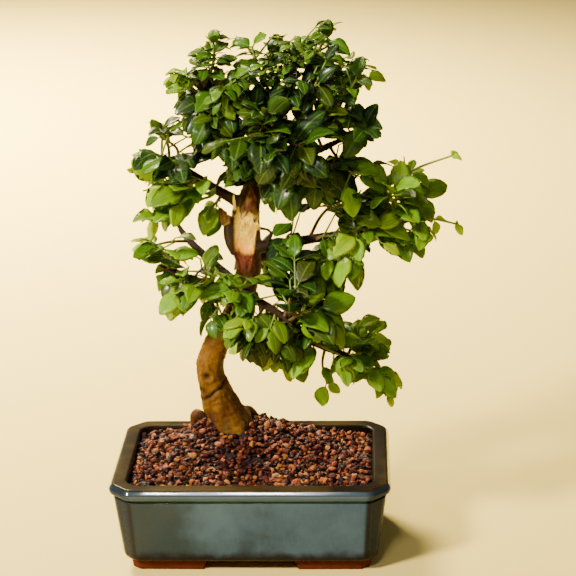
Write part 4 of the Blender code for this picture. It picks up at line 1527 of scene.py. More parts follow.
@dataclass
class Gravel:
    """The bed of earth and the stones that cover it, mounded up round the trunk."""

    pot: Pot
    tree: Tree
    edge_height: float = 0.0640
    mounds: tuple[tuple[float, float, float, float, float], ...] = (
        (0.0260, -0.006, 0.022, 0.052, 0.042),
        (0.0060, -0.020, 0.004, 0.022, 0.014),
        (0.0080, -0.041, 0.018, 0.011, 0.012),
    )
    wall_height: float = 0.0680
    wall_slope: float = 0.90
    soft: float = 0.0012
    pitch: float = 0.0038
    row_share: float = 0.87
    stray: float = 0.32
    wall_gap: float = 0.0021
    corner_gap: float = 0.0045
    # Where the stones of a layer lie over the gravel's height: the middle, and the least and
    # the most that is added to it at random.
    low_level: Triple = (-0.0012, -0.0010, 0.0011)
    high_level: Triple = (0.0008, 0.0, 0.0006)
    sunk: float = 0.35
    bed_sunk: float = 0.0022
    bed_relief: Span = (0.0007, 0.0045)
    dent: float = 0.20
    least_shape: Triple = (0.90, 0.60, 0.50)
    most_shape: Triple = (1.55, 1.0, 0.80)
    tilt: float = 0.35
    loose: int = 480
    grain: Span = (0.0013, 0.0027)
    gap: float = 0.0004
    rings: int = 42
    seed: int = 17
    finish: GravelFinish = GravelFinish()

    def height(self, flat: Array) -> Array:
        """The gravel's height: the edge's, plus mounds that fall off as bell curves.

        Each mound has its rise, its middle's x and y, and its reach along x and y. Near the long
        walls a slope that starts at the rim caps it, through a soft lesser value of the two.

        Args:
            flat: Rows of x and y.

        Returns:
            The height at each of them.
        """
        height = np.full(flat.shape[:-1], self.edge_height)
        for rise, x, y, reach_x, reach_y in self.mounds:
            away = ((flat - (x, y)) / (reach_x, reach_y)) ** 2
            height = height + rise * np.exp(-away.sum(axis=-1))
        room = self.pot.depth / 2 - self.pot.wall_top_inset - np.abs(flat[..., 1])
        cap = self.wall_height + self.wall_slope * room
        return -self.soft * np.logaddexp(-height / self.soft, -cap / self.soft)

    def bed(self) -> Sheet:
        """The bed: the inner outline shrunk to the middle on top, and closed below.

        A vertex lies at the outline's point times the ring's share, at the gravel's height there
        less a grain, plus a small random relief.

        Returns:
            The closed bed.
        """
        inset = self.pot.wall_top_inset + self.gap
        flat, _ = self.pot.outline(inset, self.pot.inner_soft)
        low_flat, _ = self.pot.outline(self.pot.wall_foot_inset + self.gap, self.pot.inner_soft)
        shares = np.linspace(1.0, 0.02, self.rings)
        spots = (shares[:, None, None] * flat[None]).reshape(-1, 2)
        tops = self.height(spots) - self.bed_sunk
        rise, size = self.bed_relief
        tops += rise * lumps(np.column_stack((spots, tops)), size, 11)
        low = raised_to(low_flat, self.pot.floor_top + self.gap)
        rings = np.concatenate((low, np.column_stack((spots, tops)))).reshape(-1, len(flat), 3)
        poles = np.array(((0.0, 0.0, low[0, 2]), (0.0, 0.0, tops[-1])))
        return stacked(rings, poles, {})

    def stone(self) -> Sheet:
        """A round stone of 24 faces: a cube's faces cut in four and drawn out to a ball."""
        ticks = np.arange(-1, 2)
        cube = np.array([(x, y, z) for x in ticks for y in ticks for z in ticks])
        shell = cube[np.abs(cube).max(axis=1) == 1]
        lookup = {tuple(spot): number for number, spot in enumerate(shell.tolist())}
        quads = []
        for axis in range(3):
            for side in (-1, 1):
                for low_a in (-1, 0):
                    for low_b in (-1, 0):
                        ring = []
                        for a, b in ((0, 0), (1, 0), (1, 1), (0, 1)):
                            spot = [0, 0, 0]
                            spot[axis] = side
                            spot[(axis + 1) % 3] = low_a + a
                            spot[(axis + 2) % 3] = low_b + b
                            ring.append(lookup[tuple(spot)])
                        quads.append(ring if side > 0 else ring[::-1])
        return Sheet(unit(shell.astype(float)), np.array(quads))

    def spots(self, draw: Draw) -> tuple[Array, Array]:
        """Where the stones lie.

        Args:
            draw: The random draws.

        Returns:
            Their centres, and their half breadths.
        """
        half_x = self.pot.length / 2 - self.pot.wall_top_inset - self.wall_gap
        half_y = self.pot.depth / 2 - self.pot.wall_top_inset - self.wall_gap
        columns = int(2 * half_x / self.pitch)
        rows = int(2 * half_y / (self.row_share * self.pitch))
        column, row = np.meshgrid(np.arange(columns + 1), np.arange(rows + 1))
        x = -half_x + (column + 0.5 * (row % 2)) * self.pitch
        y = -half_y + row * self.row_share * self.pitch
        flat = np.stack((x.ravel(), y.ravel()), axis=1)
        flat = flat + draw.uniform(-self.stray, self.stray, flat.shape) * self.pitch
        raised, low, high = self.low_level
        level = self.height(flat) + raised + draw.uniform(low, high, len(flat))
        extra = draw.uniform(-1.0, 1.0, (self.loose, 2)) * (half_x, half_y)
        raised, low, high = self.high_level
        upper = self.height(extra) + raised + draw.uniform(low, high, self.loose)
        flat = np.concatenate((flat, extra))
        places = np.column_stack((flat, np.concatenate((level, upper))))
        halves = draw.uniform(*self.grain, len(places)) * draw.choice((1.0, 1.0, 1.25), len(places))
        cut = half_x + half_y - self.pot.corner_cut + self.corner_gap
        inside = (np.abs(flat[:, 0]) < half_x) & (np.abs(flat[:, 1]) < half_y)
        inside &= np.abs(flat).sum(axis=1) < cut
        _, gap = self.tree.nearest(places)
        inside &= gap > self.sunk * halves
        return places[inside], halves[inside]

    def stones(self) -> Sheet:
        """All the stones, each a ball drawn out, dented by a random field and turned."""
        draw = np.random.default_rng(self.seed)
        centres, halves = self.spots(draw)
        count = len(centres)
        ball = self.stone()
        dents = 1.0 + draw.uniform(-self.dent, self.dent, (count, len(ball.places), 1))
        shape = draw.uniform(self.least_shape, self.most_shape, (count, 3))
        blocks = ball.places[None] * dents * shape[:, None] * halves[:, None, None]
        turns = self.turns(draw, count)
        places = np.einsum("nij,nkj->nki", turns, blocks) + centres[:, None]
        numbers = np.arange(count)[:, None, None] * len(ball.places)
        hue = np.clip(draw.beta(1.15, 1.75, count), 0.0, 1.0)
        return Sheet(
            places.reshape(-1, 3),
            (ball.quads[None] + numbers).reshape(-1, 4),
            marks={"hue": np.repeat(hue, len(ball.places))},
        )

    def turns(self, draw: Draw, count: int) -> Array:
        """Random turns, mostly about the upright, as matrices.

        Args:
            draw: The random draws.
            count: How many there are.

        Returns:
            The matrices. Their columns are a random side, its square to the upright, and the
            upright itself tilted a little.
        """
        upright = unit(UP + draw.normal(0.0, self.tilt, (count, 3)))
        side = unit(np.cross(upright, draw.normal(size=(count, 3))))
        return np.stack((side, np.cross(upright, side), upright), axis=2)

    def build(self) -> None:
        """Builds and dresses the bed and the stones."""
        bed = self.bed().build("gravel_bed", self.finish.dress_bed())
        settle(bed, "gravel", "soil")
        stones = self.stones().build("gravel_stones", self.finish.dress(), 50.0)
        settle(stones, "gravel")


class Age(Enum):
    """How old a spray's leaves are: the record's material slot for each age."""

    OLD = "old_leaf"
    GROWN = "grown_leaf"
    YOUNG = "young_leaf"


YOUTH = {Age.OLD: 0.23, Age.GROWN: 0.54, Age.YOUNG: 0.78}


@dataclass(frozen=True)
class Spray:
    """A leafy stem: where its furthest leaf reaches, its pairs, their length and their age.

    Its shade tone makes its leaves lighter or darker than others of their age; the sprays that have
    one are darkened, as painted shade where the crown lies in shade.
    """

    name: str
    reach: Triple
    pairs: int
    leaf: float
    age: Age
    tone: float = 0.0


OLD, GROWN, YOUNG = Age


def sprays(prefix: str, *rows: Sequence[Union[str, int, Age]]) -> tuple[Spray, ...]:
    """Sprays from rows of whole numbers.

    Args:
        prefix: What each name starts with.
        rows: The rest of the name, the reach in millimetres, how many pairs, the leaf's length
            in millimetres, the age, and for some the shade tone in hundredths, which paints shade.

    Returns:
        The sprays.
    """
    made = []
    for name, x, y, z, pairs, leaf, age, *tone in rows:
        (reach,) = metres(MM, ((x, y, z),))
        made.append(Spray(prefix + name, reach, pairs, leaf / MM, age, sum(tone) / 100))
    return tuple(made)


SPRAYS: tuple[Spray, ...] = sprays(
    "",
    ("top_left_edge", -16, 0, 406, 4, 24, GROWN),
    ("top_left_shoulder", -42, 20, 376, 4, 26, OLD),
    ("left_shoulder", -58, 12, 364, 4, 24, YOUNG),
    ("left_upper_edge", -72, -5, 340, 4, 28, OLD),
    ("left_upper_back", -66, 44, 326, 4, 27, OLD),
    ("left_yellow_edge", -84, 14, 302, 4, 25, YOUNG),
    ("left_low_edge", -83, -12, 286, 4, 26, YOUNG),
    ("top_middle", 41, -8, 405, 4, 24, GROWN),
    ("top_back", 18, 42, 388, 4, 25, GROWN),
    ("top_right_stem", 71, 18, 398, 3, 23, YOUNG),
    ("top_right_edge", 85, -14, 382, 4, 25, GROWN),
    ("right_shoulder", 107, 20, 357, 4, 24, YOUNG),
    ("right_upper_edge", 103, -10, 338, 4, 26, OLD),
    ("right_upper_back", 90, 48, 318, 4, 27, OLD),
    ("right_top_edge", 118, -14, 298, 4, 27, GROWN),
    ("right_long_edge", 146, 12, 278, 4, 26, GROWN),
    ("far_right_twig", 162, 6, 314, 3, 19, YOUNG),
    ("far_right_low_twig", 168, -4, 253, 3, 19, YOUNG),
    ("right_low_edge", 133, 12, 244, 4, 27, GROWN),
    ("right_low_front", 106, -36, 262, 4, 28, YOUNG),
    ("right_low_back", 104, 46, 238, 4, 27, GROWN),
    ("left_big_front", -50, -38, 282, 4, 30, GROWN),
    ("left_narrow_edge", -80, -16, 252, 4, 24, YOUNG, -12),
    ("left_twig", -88, 6, 232, 4, 22, GROWN),
    ("left_dark_low", -58, -14, 196, 4, 30, OLD),
    ("left_back_low", -70, 56, 224, 4, 27, GROWN),
    ("low_left_tail", -48, 16, 170, 4, 26, GROWN),
    ("front_left_low", -22, -44, 222, 4, 28, GROWN),
    ("trunk_front", -14, -36, 180, 4, 27, GROWN, -18),
    ("front_low", 10, -56, 206, 4, 28, GROWN),
    ("low_inner", 10, -22, 150, 4, 26, YOUNG, -36),
    ("low_middle", 36, -12, 129, 4, 25, YOUNG),
    ("low_hanging", 58, -30, 117, 4, 25, YOUNG),
    ("low_right_tail", 112, -20, 108, 4, 24, YOUNG),
    ("low_right_edge", 117, 6, 129, 4, 24, YOUNG),
    ("low_right_front", 86, -36, 154, 4, 28, YOUNG),
    ("low_right_shoulder", 106, 14, 173, 4, 29, YOUNG),
    ("low_front_right", 74, -50, 212, 4, 29, GROWN),
    ("front_low_right", 46, -58, 242, 4, 28, OLD),
    ("front_top_left", 2, -45, 374, 4, 27, GROWN),
    ("front_top_right", 66, -50, 368, 4, 27, OLD),
    ("front_upper_left", -26, -48, 340, 4, 28, OLD),
    ("front_upper_middle", 14, -72, 344, 4, 28, OLD),
    ("front_upper_right", 60, -66, 332, 4, 28, OLD),
    ("front_middle_left", -30, -44, 308, 4, 28, OLD),
    ("front_middle", 31, -72, 305, 4, 28, OLD),
    ("front_middle_right", 58, -40, 284, 4, 28, OLD),
    ("beside_cut", 34, -34, 262, 4, 27, OLD),
    ("middle_right_front", 78, -36, 256, 4, 28, GROWN),
    ("back_upper_left", -24, 64, 354, 4, 27, OLD),
    ("back_upper_right", 54, 66, 352, 4, 27, OLD),
    ("back_middle_left", -36, 84, 296, 4, 28, OLD),
    ("back_middle_right", 46, 92, 292, 4, 28, OLD),
    ("back_low_middle", 2, 88, 200, 4, 28, GROWN),
    ("back_low_right", 76, 82, 206, 4, 28, GROWN),
)

# Sprays that only the scene has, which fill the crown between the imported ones.
FILLERS: tuple[Spray, ...] = sprays(
    "fill_",
    ("left_of_cut", -34, -12, 254, 3, 25, GROWN),
    ("left_low_front", -23, -34, 217, 3, 27, GROWN),
    ("left_inner", -52, -26, 272, 3, 28, YOUNG),
    ("left_mid", -34, -30, 316, 3, 26, OLD),
    ("left_high", -30, -32, 345, 3, 24, OLD),
    ("over_spike", 4, -22, 290, 3, 24, OLD),
    ("front_middle", 23, -46, 312, 3, 26, OLD),
    ("gap_edge", 74, -10, 313, 3, 24, OLD),
    ("gap_low", 83, -15, 291, 2, 24, OLD),
    ("right_front", 62, -40, 297, 3, 25, OLD),
    ("right_end", 91, -34, 283, 3, 26, GROWN),
    ("big_low_green", 75, -36, 212, 3, 31, GROWN),
    ("low_middle", 40, -46, 212, 3, 27, GROWN),
    ("low_front", 21, -48, 184, 3, 26, OLD),
    ("under_trunk", -6, -34, 161, 3, 25, OLD),
    ("under_trunk_right", 18, -32, 161, 3, 26, OLD),
    ("low_right", 77, -40, 172, 3, 28, GROWN),
    ("top_left", -2, -5, 398, 3, 19, GROWN),
    ("top_middle_left", 14, -8, 394, 3, 19, GROWN),
    ("top_leaf", 63, -10, 404, 2, 20, GROWN),
    ("top_left_rim", 1, -4, 396, 3, 16, GROWN),
    ("right_top", 100, -6, 367, 3, 18, YOUNG),
    ("spike_right", 15, -14, 269, 3, 22, OLD),
    ("beside_mass", 26, -18, 259, 3, 22, OLD),
    ("gap_right", 80, -14, 292, 3, 22, OLD),
    ("low_right_gap", 72, -28, 194, 3, 24, OLD),
    ("left_edge_dark", -78, -10, 250, 3, 20, GROWN),
    ("left_big_tip", -61, -18, 189, 2, 30, YOUNG, -16),
    ("top_front", 46, -26, 386, 3, 18, YOUNG),
    ("front_dark", 15, -40, 361, 3, 25, OLD),
    ("front_dark_left", -6, -36, 346, 3, 25, OLD),
    ("front_dark_right", 34, -46, 337, 3, 26, OLD),
    ("front_light", 58, -36, 352, 3, 18, YOUNG),
    ("top_far_left", -11, -2, 396, 3, 18, GROWN),
    ("top_middle", 37, -4, 400, 3, 18, GROWN),
    ("left_up", -49, 0, 366, 2, 18, YOUNG),
    ("right_twig", 106, -4, 363, 2, 18, YOUNG),
    ("right_twig_top", 88, 0, 379, 2, 18, YOUNG),
    ("arm_top", 87, -10, 294, 3, 22, GROWN),
    ("arm_dark", 106, -6, 299, 2, 27, OLD),
    ("right_end_hanging", 136, -8, 229, 2, 27, GROWN),
    ("trunk_front", -13, -26, 146, 3, 24, OLD),
    ("trunk_top", -27, -18, 153, 3, 22, OLD),
    ("trunk_right", 10, -30, 152, 3, 24, OLD),
    ("trunk_bright", 1, -36, 156, 2, 25, YOUNG, -8),
    ("hanging", 37, -26, 137, 3, 26, YOUNG),
    ("left_dark_upper", -57, -4, 340, 2, 26, OLD),
    ("left_dark_lower", -52, -8, 325, 3, 26, OLD),
    ("over_left_branch", -17, -16, 282, 2, 22, OLD),
    ("over_left_low", -29, -18, 239, 3, 23, GROWN, -15),
    ("mass_beside_spike", 28, -22, 271, 3, 24, OLD),
    ("mass_low", 40, -26, 268, 3, 24, OLD),
    ("branch_left", -15, -18, 285, 3, 24, OLD),
    ("above_cut", 15, -26, 286, 3, 24, OLD),
    ("above_cut_right", 25, -26, 274, 3, 24, OLD),
    ("top_rim_left", -8, -2, 393, 3, 18, GROWN),
    ("top_peak", 38, -4, 398, 2, 18, GROWN),
    ("right_upper_leaf", 103, -4, 363, 2, 21, YOUNG),
    ("right_rim", 83, -6, 380, 2, 20, GROWN),
    ("right_end_low", 135, -4, 233, 2, 24, GROWN),
    ("gap_side", 73, -24, 193, 2, 24, OLD),
    ("green_round", 76, -30, 218, 2, 27, YOUNG),
    ("low_tip", 110, -12, 122, 2, 22, YOUNG),
    ("under_left", -12, -28, 163, 3, 25, OLD),
    ("under_middle", 15, -34, 163, 3, 27, OLD),
    ("top_left_inner", 10, -8, 385, 3, 18, GROWN),
    ("left_dark_leaf", -54, -10, 328, 2, 28, OLD),
    ("beside_cut_low", 16, -22, 268, 2, 24, OLD),
)


@dataclass(frozen=True)
class Habit:
    """How a spray grows: its seat, its twig and its opposite leaves."""

    seat_spacing: float = 0.0055
    seat_from: float = 0.30
    trunk_seat_from: float = 0.1
    trunk_seat_stations: int = 4
    gap: float = 0.0003
    twig_shares: tuple[float, ...] = (0.0, 0.38, 0.62, 1.0)
    twig_root: float = 0.0013
    twig_tip: float = 0.0009
    onward: float = 0.006
    twig_bend: float = 0.42
    twig_lift: float = 0.10
    reach_of_leaf: float = 0.80
    tries: int = 24
    try_spread: Span = (0.8, 2.4)
    filler_tries: int = 16
    filler_spread: Span = (0.7, 2.2)
    seed: int = 700
    shoot_seed: int = 4000
    filler_leaf_seed: int = 5000
    filler_seed: int = 6000
    youth_seed: int = 9000
    packed_leaf_seed: int = 9500
    seeds_each: int = 40
    pair_turns: Span = (0.20, 1.10)
    turn_spread: float = 0.2
    size_at_foot: float = 1.10
    size_loss: float = 0.24
    size_spread: float = 0.12
    petiole: float = 0.17
    keel: float = 0.0011
    arch: float = 0.70
    light_front: Triple = (0.0, -0.50, 0.80)
    light_back: Triple = (0.0, 0.40, 0.85)
    back_from: float = 0.030
    forward: Span = (0.40, 1.30)
    swing: float = 0.35
    droop: float = 0.22
    lift: float = 0.34
    roll: float = 0.40

    def pair_shares(self, pairs: int) -> tuple[float, ...]:
        """Where along a twig its pairs stand, as shares of its length."""
        shares = {2: (0.50, 0.95), 3: (0.30, 0.64, 0.97), 4: (0.26, 0.50, 0.74, 0.97)}
        return shares[pairs]


@dataclass(frozen=True)
class Leaf:
    """Where a leaf stands: its root, its frame's columns, its length, its youth and its seed."""

    root: Array
    frame: Array
    size: float
    youth: float
    seed: int


@dataclass
class Seats:
    """Places on the branches where a spray can stand."""

    centres: Array
    axes: Array
    radii: Array
    at_end: Array


@dataclass
class BladeForm:
    """The fine form of a privet leaf: a stalk, then an ovate blade with a drawn-out tip."""

    rows: tuple[float, ...] = (0.0, 0.09, 0.25, 0.43, 0.63, 0.83, 0.94)
    width: float = 0.70
    stalk_width: float = 0.0009
    stalk_thick: float = 0.0008
    thick: float = 0.0005
    foot_power: float = 0.62
    tip_power: float = 0.80
    fold: Span = (0.05, 0.42)
    curl: Span = (-0.16, 0.24)
    wave: Span = (0.015, 0.060)
    sway: Span = (-0.05, 0.05)
    twist: Span = (-0.45, 0.45)
    ring_across: tuple[float, ...] = (-1.0, -0.52, 0.0, 0.52, 1.0, 0.52, 0.0, -0.52)
    ring_upper: tuple[float, ...] = (0.0, 1.0, 1.0, 1.0, 0.0, -1.0, -1.0, -1.0)
    ripples: float = 9.0
    ripple_shift: float = 1.6

    def half_width(self, along: Array) -> Array:
        """Half the blade's width as a share of its length.

        It is the place along to the foot power, times one less the place to the tip power,
        scaled so that the widest place has half the width.

        Args:
            along: Places along the blade, from 0 to 1.

        Returns:
            The half width at each place.
        """
        top = self.foot_power / (self.foot_power + self.tip_power)
        most = top**self.foot_power * (1.0 - top) ** self.tip_power
        shape = along**self.foot_power * (1.0 - along) ** self.tip_power
        return shape / most * self.width / 2.0

    def blades(self, leaves: Sequence[Leaf], habit: Habit, stalk_from: float = 0.0) -> Sheet:
        """Many leaves at once.

        A leaf is a ring of eight vertices carried along its arched midrib: five across the top
        and three back under it. The midrib is an arc, each half rises from it as a shallow V,
        the margin waves as a sine along the blade, and the tip is one vertex.

        Args:
            leaves: Where the leaves stand.
            habit: The arch and the stalk's share of the length.
            stalk_from: Where the stalk starts, as a share of its length.

        Returns:
            The leaves, with a chart across and along the blade, and the marks youth and under.
        """
        draws = np.stack([np.random.default_rng(leaf.seed).uniform(size=7) for leaf in leaves])

        def drawn(number: int, low: float, high: float) -> Array:
            """Each leaf's own value between two limits."""
            return low + (high - low) * draws[:, number, None, None]

        size = np.array([leaf.size for leaf in leaves])[:, None, None]
        rows = np.array((0.0, *self.rows, 1.0))
        half = np.concatenate(([0.0], self.half_width(np.array(self.rows)), [0.0]))
        along = rows[None, :, None]
        start = habit.petiole * size + np.zeros((1, len(rows), 1))
        turn = habit.arch * along
        reach = start + size * np.sin(turn) / habit.arch
        drop = size * (np.cos(turn) - 1.0) / habit.arch
        reach[:, 0] *= stalk_from
        across = np.array(self.ring_across)
        upper = np.array(self.ring_upper)
        half = np.maximum(half[None, :, None] * size, self.stalk_width / 2)
        half = half * (along < 1.0)
        blade = eased(along, 0.0, 0.12)
        fold, curl = drawn(0, *self.fold), drawn(1, *self.curl)
        wave, phase = drawn(2, *self.wave) * size, drawn(3, 0.0, 2.0 * math.pi)
        sway = drawn(4, *self.sway) * size
        flare = np.abs(across) * half * (fold - curl * np.abs(across)) * blade
        ripple = wave * np.sin(along * self.ripples + phase + self.ripple_shift * np.sign(across))
        ripple = ripple * across**2 * blade
        twist = drawn(5, *self.twist) * along**2
        thick = np.where(blade > 0.5, self.thick, self.stalk_thick) * (1.0 - 0.4 * along)
        body = flare + ripple + upper * thick / 2
        x = across * half * np.cos(twist) - body * np.sin(twist) + sway * along**2
        y = reach + 0.0 * x
        z = drop + across * half * np.sin(twist) + body * np.cos(twist)
        local = np.stack((x, y, z - habit.keel * 0.25 * blade), axis=-1)
        frames = np.array([leaf.frame for leaf in leaves])
        roots = np.array([leaf.root for leaf in leaves])
        rings = np.einsum("nij,nrkj->nrki", frames, local) + roots[:, None, None]
        youths = np.array([leaf.youth for leaf in leaves])
        return self.close(rings, youths, draws[:, 6], rows)

    def close(self, rings: Array, youths: Array, tints: Array, along: Array) -> Sheet:
        """Closes rings into leaves.

        Args:
            rings: Places by leaf, row and corner. The last row is the tip, all in one place.
            youths: Each leaf's youth.
            tints: Each leaf's share of olive.
            along: Each row's place along the blade.

        Returns:
            The sheet of all the leaves.
        """
        count, rows, corners = rings.shape[:3]
        body = rings[:, :-1].reshape(count, -1, 3)
        tips = rings[:, -1:, 2]
        places = np.concatenate((body, tips), axis=1)
        own = places.shape[1]
        quads = grid_quads(rows - 1, corners)
        last = np.arange((rows - 2) * corners, (rows - 1) * corners)
        ends = np.array(((2, 1, 0), (7, 2, 0), (3, 2, 7), (6, 3, 7), (4, 3, 6), (5, 4, 6)))
        triangles = np.concatenate((fan(last, own - 1), ends))
        numbers = np.arange(count)[:, None, None] * own
        across = (np.array(self.ring_across) + 1.0) / 2.0
        place_along = along[:-1].copy()
        place_along[0] = -0.2
        chart = np.stack(np.broadcast_arrays(across[None], place_along[:, None]), axis=-1)
        chart = np.concatenate((chart.reshape(-1, 2), [(0.5, 1.0)]))
        under = np.tile((np.array(self.ring_upper) < 0.0).astype(float), rows - 1)
        return Sheet(
            places.reshape(-1, 3),
            (quads[None] + numbers).reshape(-1, 4),
            (triangles[None] + numbers).reshape(-1, 3),
            np.tile(chart, (count, 1)),
            {
                "youth": np.repeat(youths, own),
                "tint": np.repeat(tints, own),
                "under": np.tile(np.concatenate((under, [0.0])), count),
            },
        )


@dataclass
class Solid:
    """What a new leaf must clear: its middle, its reach and its faces."""

    owner: str
    centre: Array
    reach: float
    tree: BVHTree


def solid(owner: str, sheet: Sheet) -> Solid:
    """Wraps a sheet for the clearance tests.

    Args:
        owner: The spray that it belongs to, or nothing.
        sheet: Its places and faces.

    Returns:
        The wrapped solid.
    """
    centre = (sheet.places.min(axis=0) + sheet.places.max(axis=0)) / 2
    reach = float(distance(sheet.places, centre).max())
    return Solid(owner, centre, reach, BVHTree.FromPolygons(sheet.places.tolist(), sheet.faces()))


@dataclass
class Room:
    """Keeps what stands in the crown, and says whether something new is clear of it."""

    solids: list[Solid] = field(default_factory=list)
    centres: list[Array] = field(default_factory=list)
    reaches: list[float] = field(default_factory=list)

    def add(self, item: Solid) -> None:
        """Keeps one more solid.

        Args:
            item: The solid.
        """
        self.solids.append(item)
        self.centres.append(item.centre)
        self.reaches.append(item.reach)

    def clear(self, item: Solid, skip: str = "") -> bool:
        """Whether a solid crosses nothing.

        Args:
            item: The solid.
            skip: The owner whose twigs may be crossed.

        Returns:
            Whether it is clear.
        """
        apart = distance(np.array(self.centres), item.centre)
        near = np.nonzero(apart < np.array(self.reaches) + item.reach)[0]
        for number in near:
            other = self.solids[number]
            if other.owner and other.owner == skip:
                continue
            if item.tree.overlap(other.tree):
                return False
        return True


@dataclass
class Envelope:
    """What the crown fills, seen from in front, and where daylight shows through it.

    Both are in x and z, in metres, on the upright plane through the pot's middle.
    """

    edge: tuple[Span, ...] = metres(
        MM,
        (
            (-17, 400), (-5, 400), (2, 395), (14, 395), (28, 399), (36, 391), (50, 393), (52, 404),
            (73, 404), (71, 398), (60, 391), (73, 385), (92, 383), (96, 374), (110, 370),
            (110, 357), (98, 355), (82, 357), (80, 342), (92, 344), (105, 342), (105, 332),
            (93, 311), (79, 314), (79, 307), (87, 298), (99, 302), (115, 303), (132, 294),
            (146, 287), (146, 276), (137, 273), (143, 268), (142, 258), (139, 240), (137, 222),
            (115, 222), (100, 235), (86, 240), (84, 223), (87, 201), (78, 194), (76, 187),
            (90, 183), (100, 180), (104, 179), (106, 158), (102, 145), (100, 138), (113, 137),
            (118, 129), (116, 118), (115, 105), (108, 107), (101, 120), (96, 121), (90, 120),
            (85, 128), (80, 122), (72, 124), (66, 136), (60, 133), (63, 125), (59, 108), (49, 108),
            (49, 120), (56, 135), (63, 141), (64, 153), (60, 158), (51, 160), (47, 153), (45, 140),
            (44, 126), (35, 124), (27, 129), (26, 142), (23, 137), (-8, 138), (-20, 152),
            (-38, 163), (-40, 174), (-52, 169), (-49, 182), (-60, 177), (-67, 180), (-68, 202),
            (-66, 224), (-85, 226), (-87, 241), (-81, 266), (-71, 275), (-83, 284), (-86, 302),
            (-83, 308), (-71, 309), (-72, 326), (-70, 338), (-47, 348), (-58, 352), (-60, 369),
            (-39, 369), (-41, 380), (-28, 387), (-26, 396),
        ),
    )
    gaps: tuple[tuple[float, float, float, float], ...] = metres(
        MM,
        (
            (-29, 294, 9, 7), (-20, 296, 4, 8), (58, 310, 11, 8), (50, 251, 16, 13),
            (15, 251, 5, 11), (-39, 261, 6, 9), (-34, 236, 8, 5), (-38, 218, 5, 7),
            (-58, 239, 8, 5), (11, 193, 9, 11), (-35, 189, 7, 7), (-18, 187, 10, 5),
            (76, 181, 6, 8), (84, 280, 7, 4), (-57, 313, 13, 6), (-61, 331, 4, 3),
        ),
    )
    over_edge: float = 0.12
    over_gap: float = 0.08

    def seen(self, places: Array) -> Array:
        """Where places appear on the upright plane through the pot's middle.

        A place is drawn out from the eye until it meets the plane.

        Args:
            places: Places in the pot's own frame.

        Returns:
            Rows of x and z.
        """
        stretch = -EYE[1] / (places[:, 1:2] - EYE[1])
        return (EYE + (places - EYE) * stretch)[:, (0, 2)]

    def spill(self, places: Array) -> float:
        """How much of a leaf lies out of the crown or before daylight.

        Args:
            places: The leaf's vertices.

        Returns:
            The larger of two shares, each over what may lie past the edge or before a gap.
        """
        spots = self.seen(places)
        low = np.array(self.edge)
        high = np.roll(low, -1, axis=0)
        x, z = spots[:, :1], spots[:, 1:]
        crosses = (low[:, 1] > z) != (high[:, 1] > z)
        rise = high[:, 1] - low[:, 1] + 1e-12
        level = low[:, 0] + (z - low[:, 1]) * (high[:, 0] - low[:, 0]) / rise
        inside = (crosses & (x < level)).sum(axis=1) % 2 == 1
        gap = np.array(self.gaps)
        shaded = (((spots[:, None] - gap[:, :2]) / gap[:, 2:]) ** 2).sum(axis=2).min(axis=1) < 1.0
        return float(max((~inside).mean() / self.over_edge, shaded.mean() / self.over_gap))


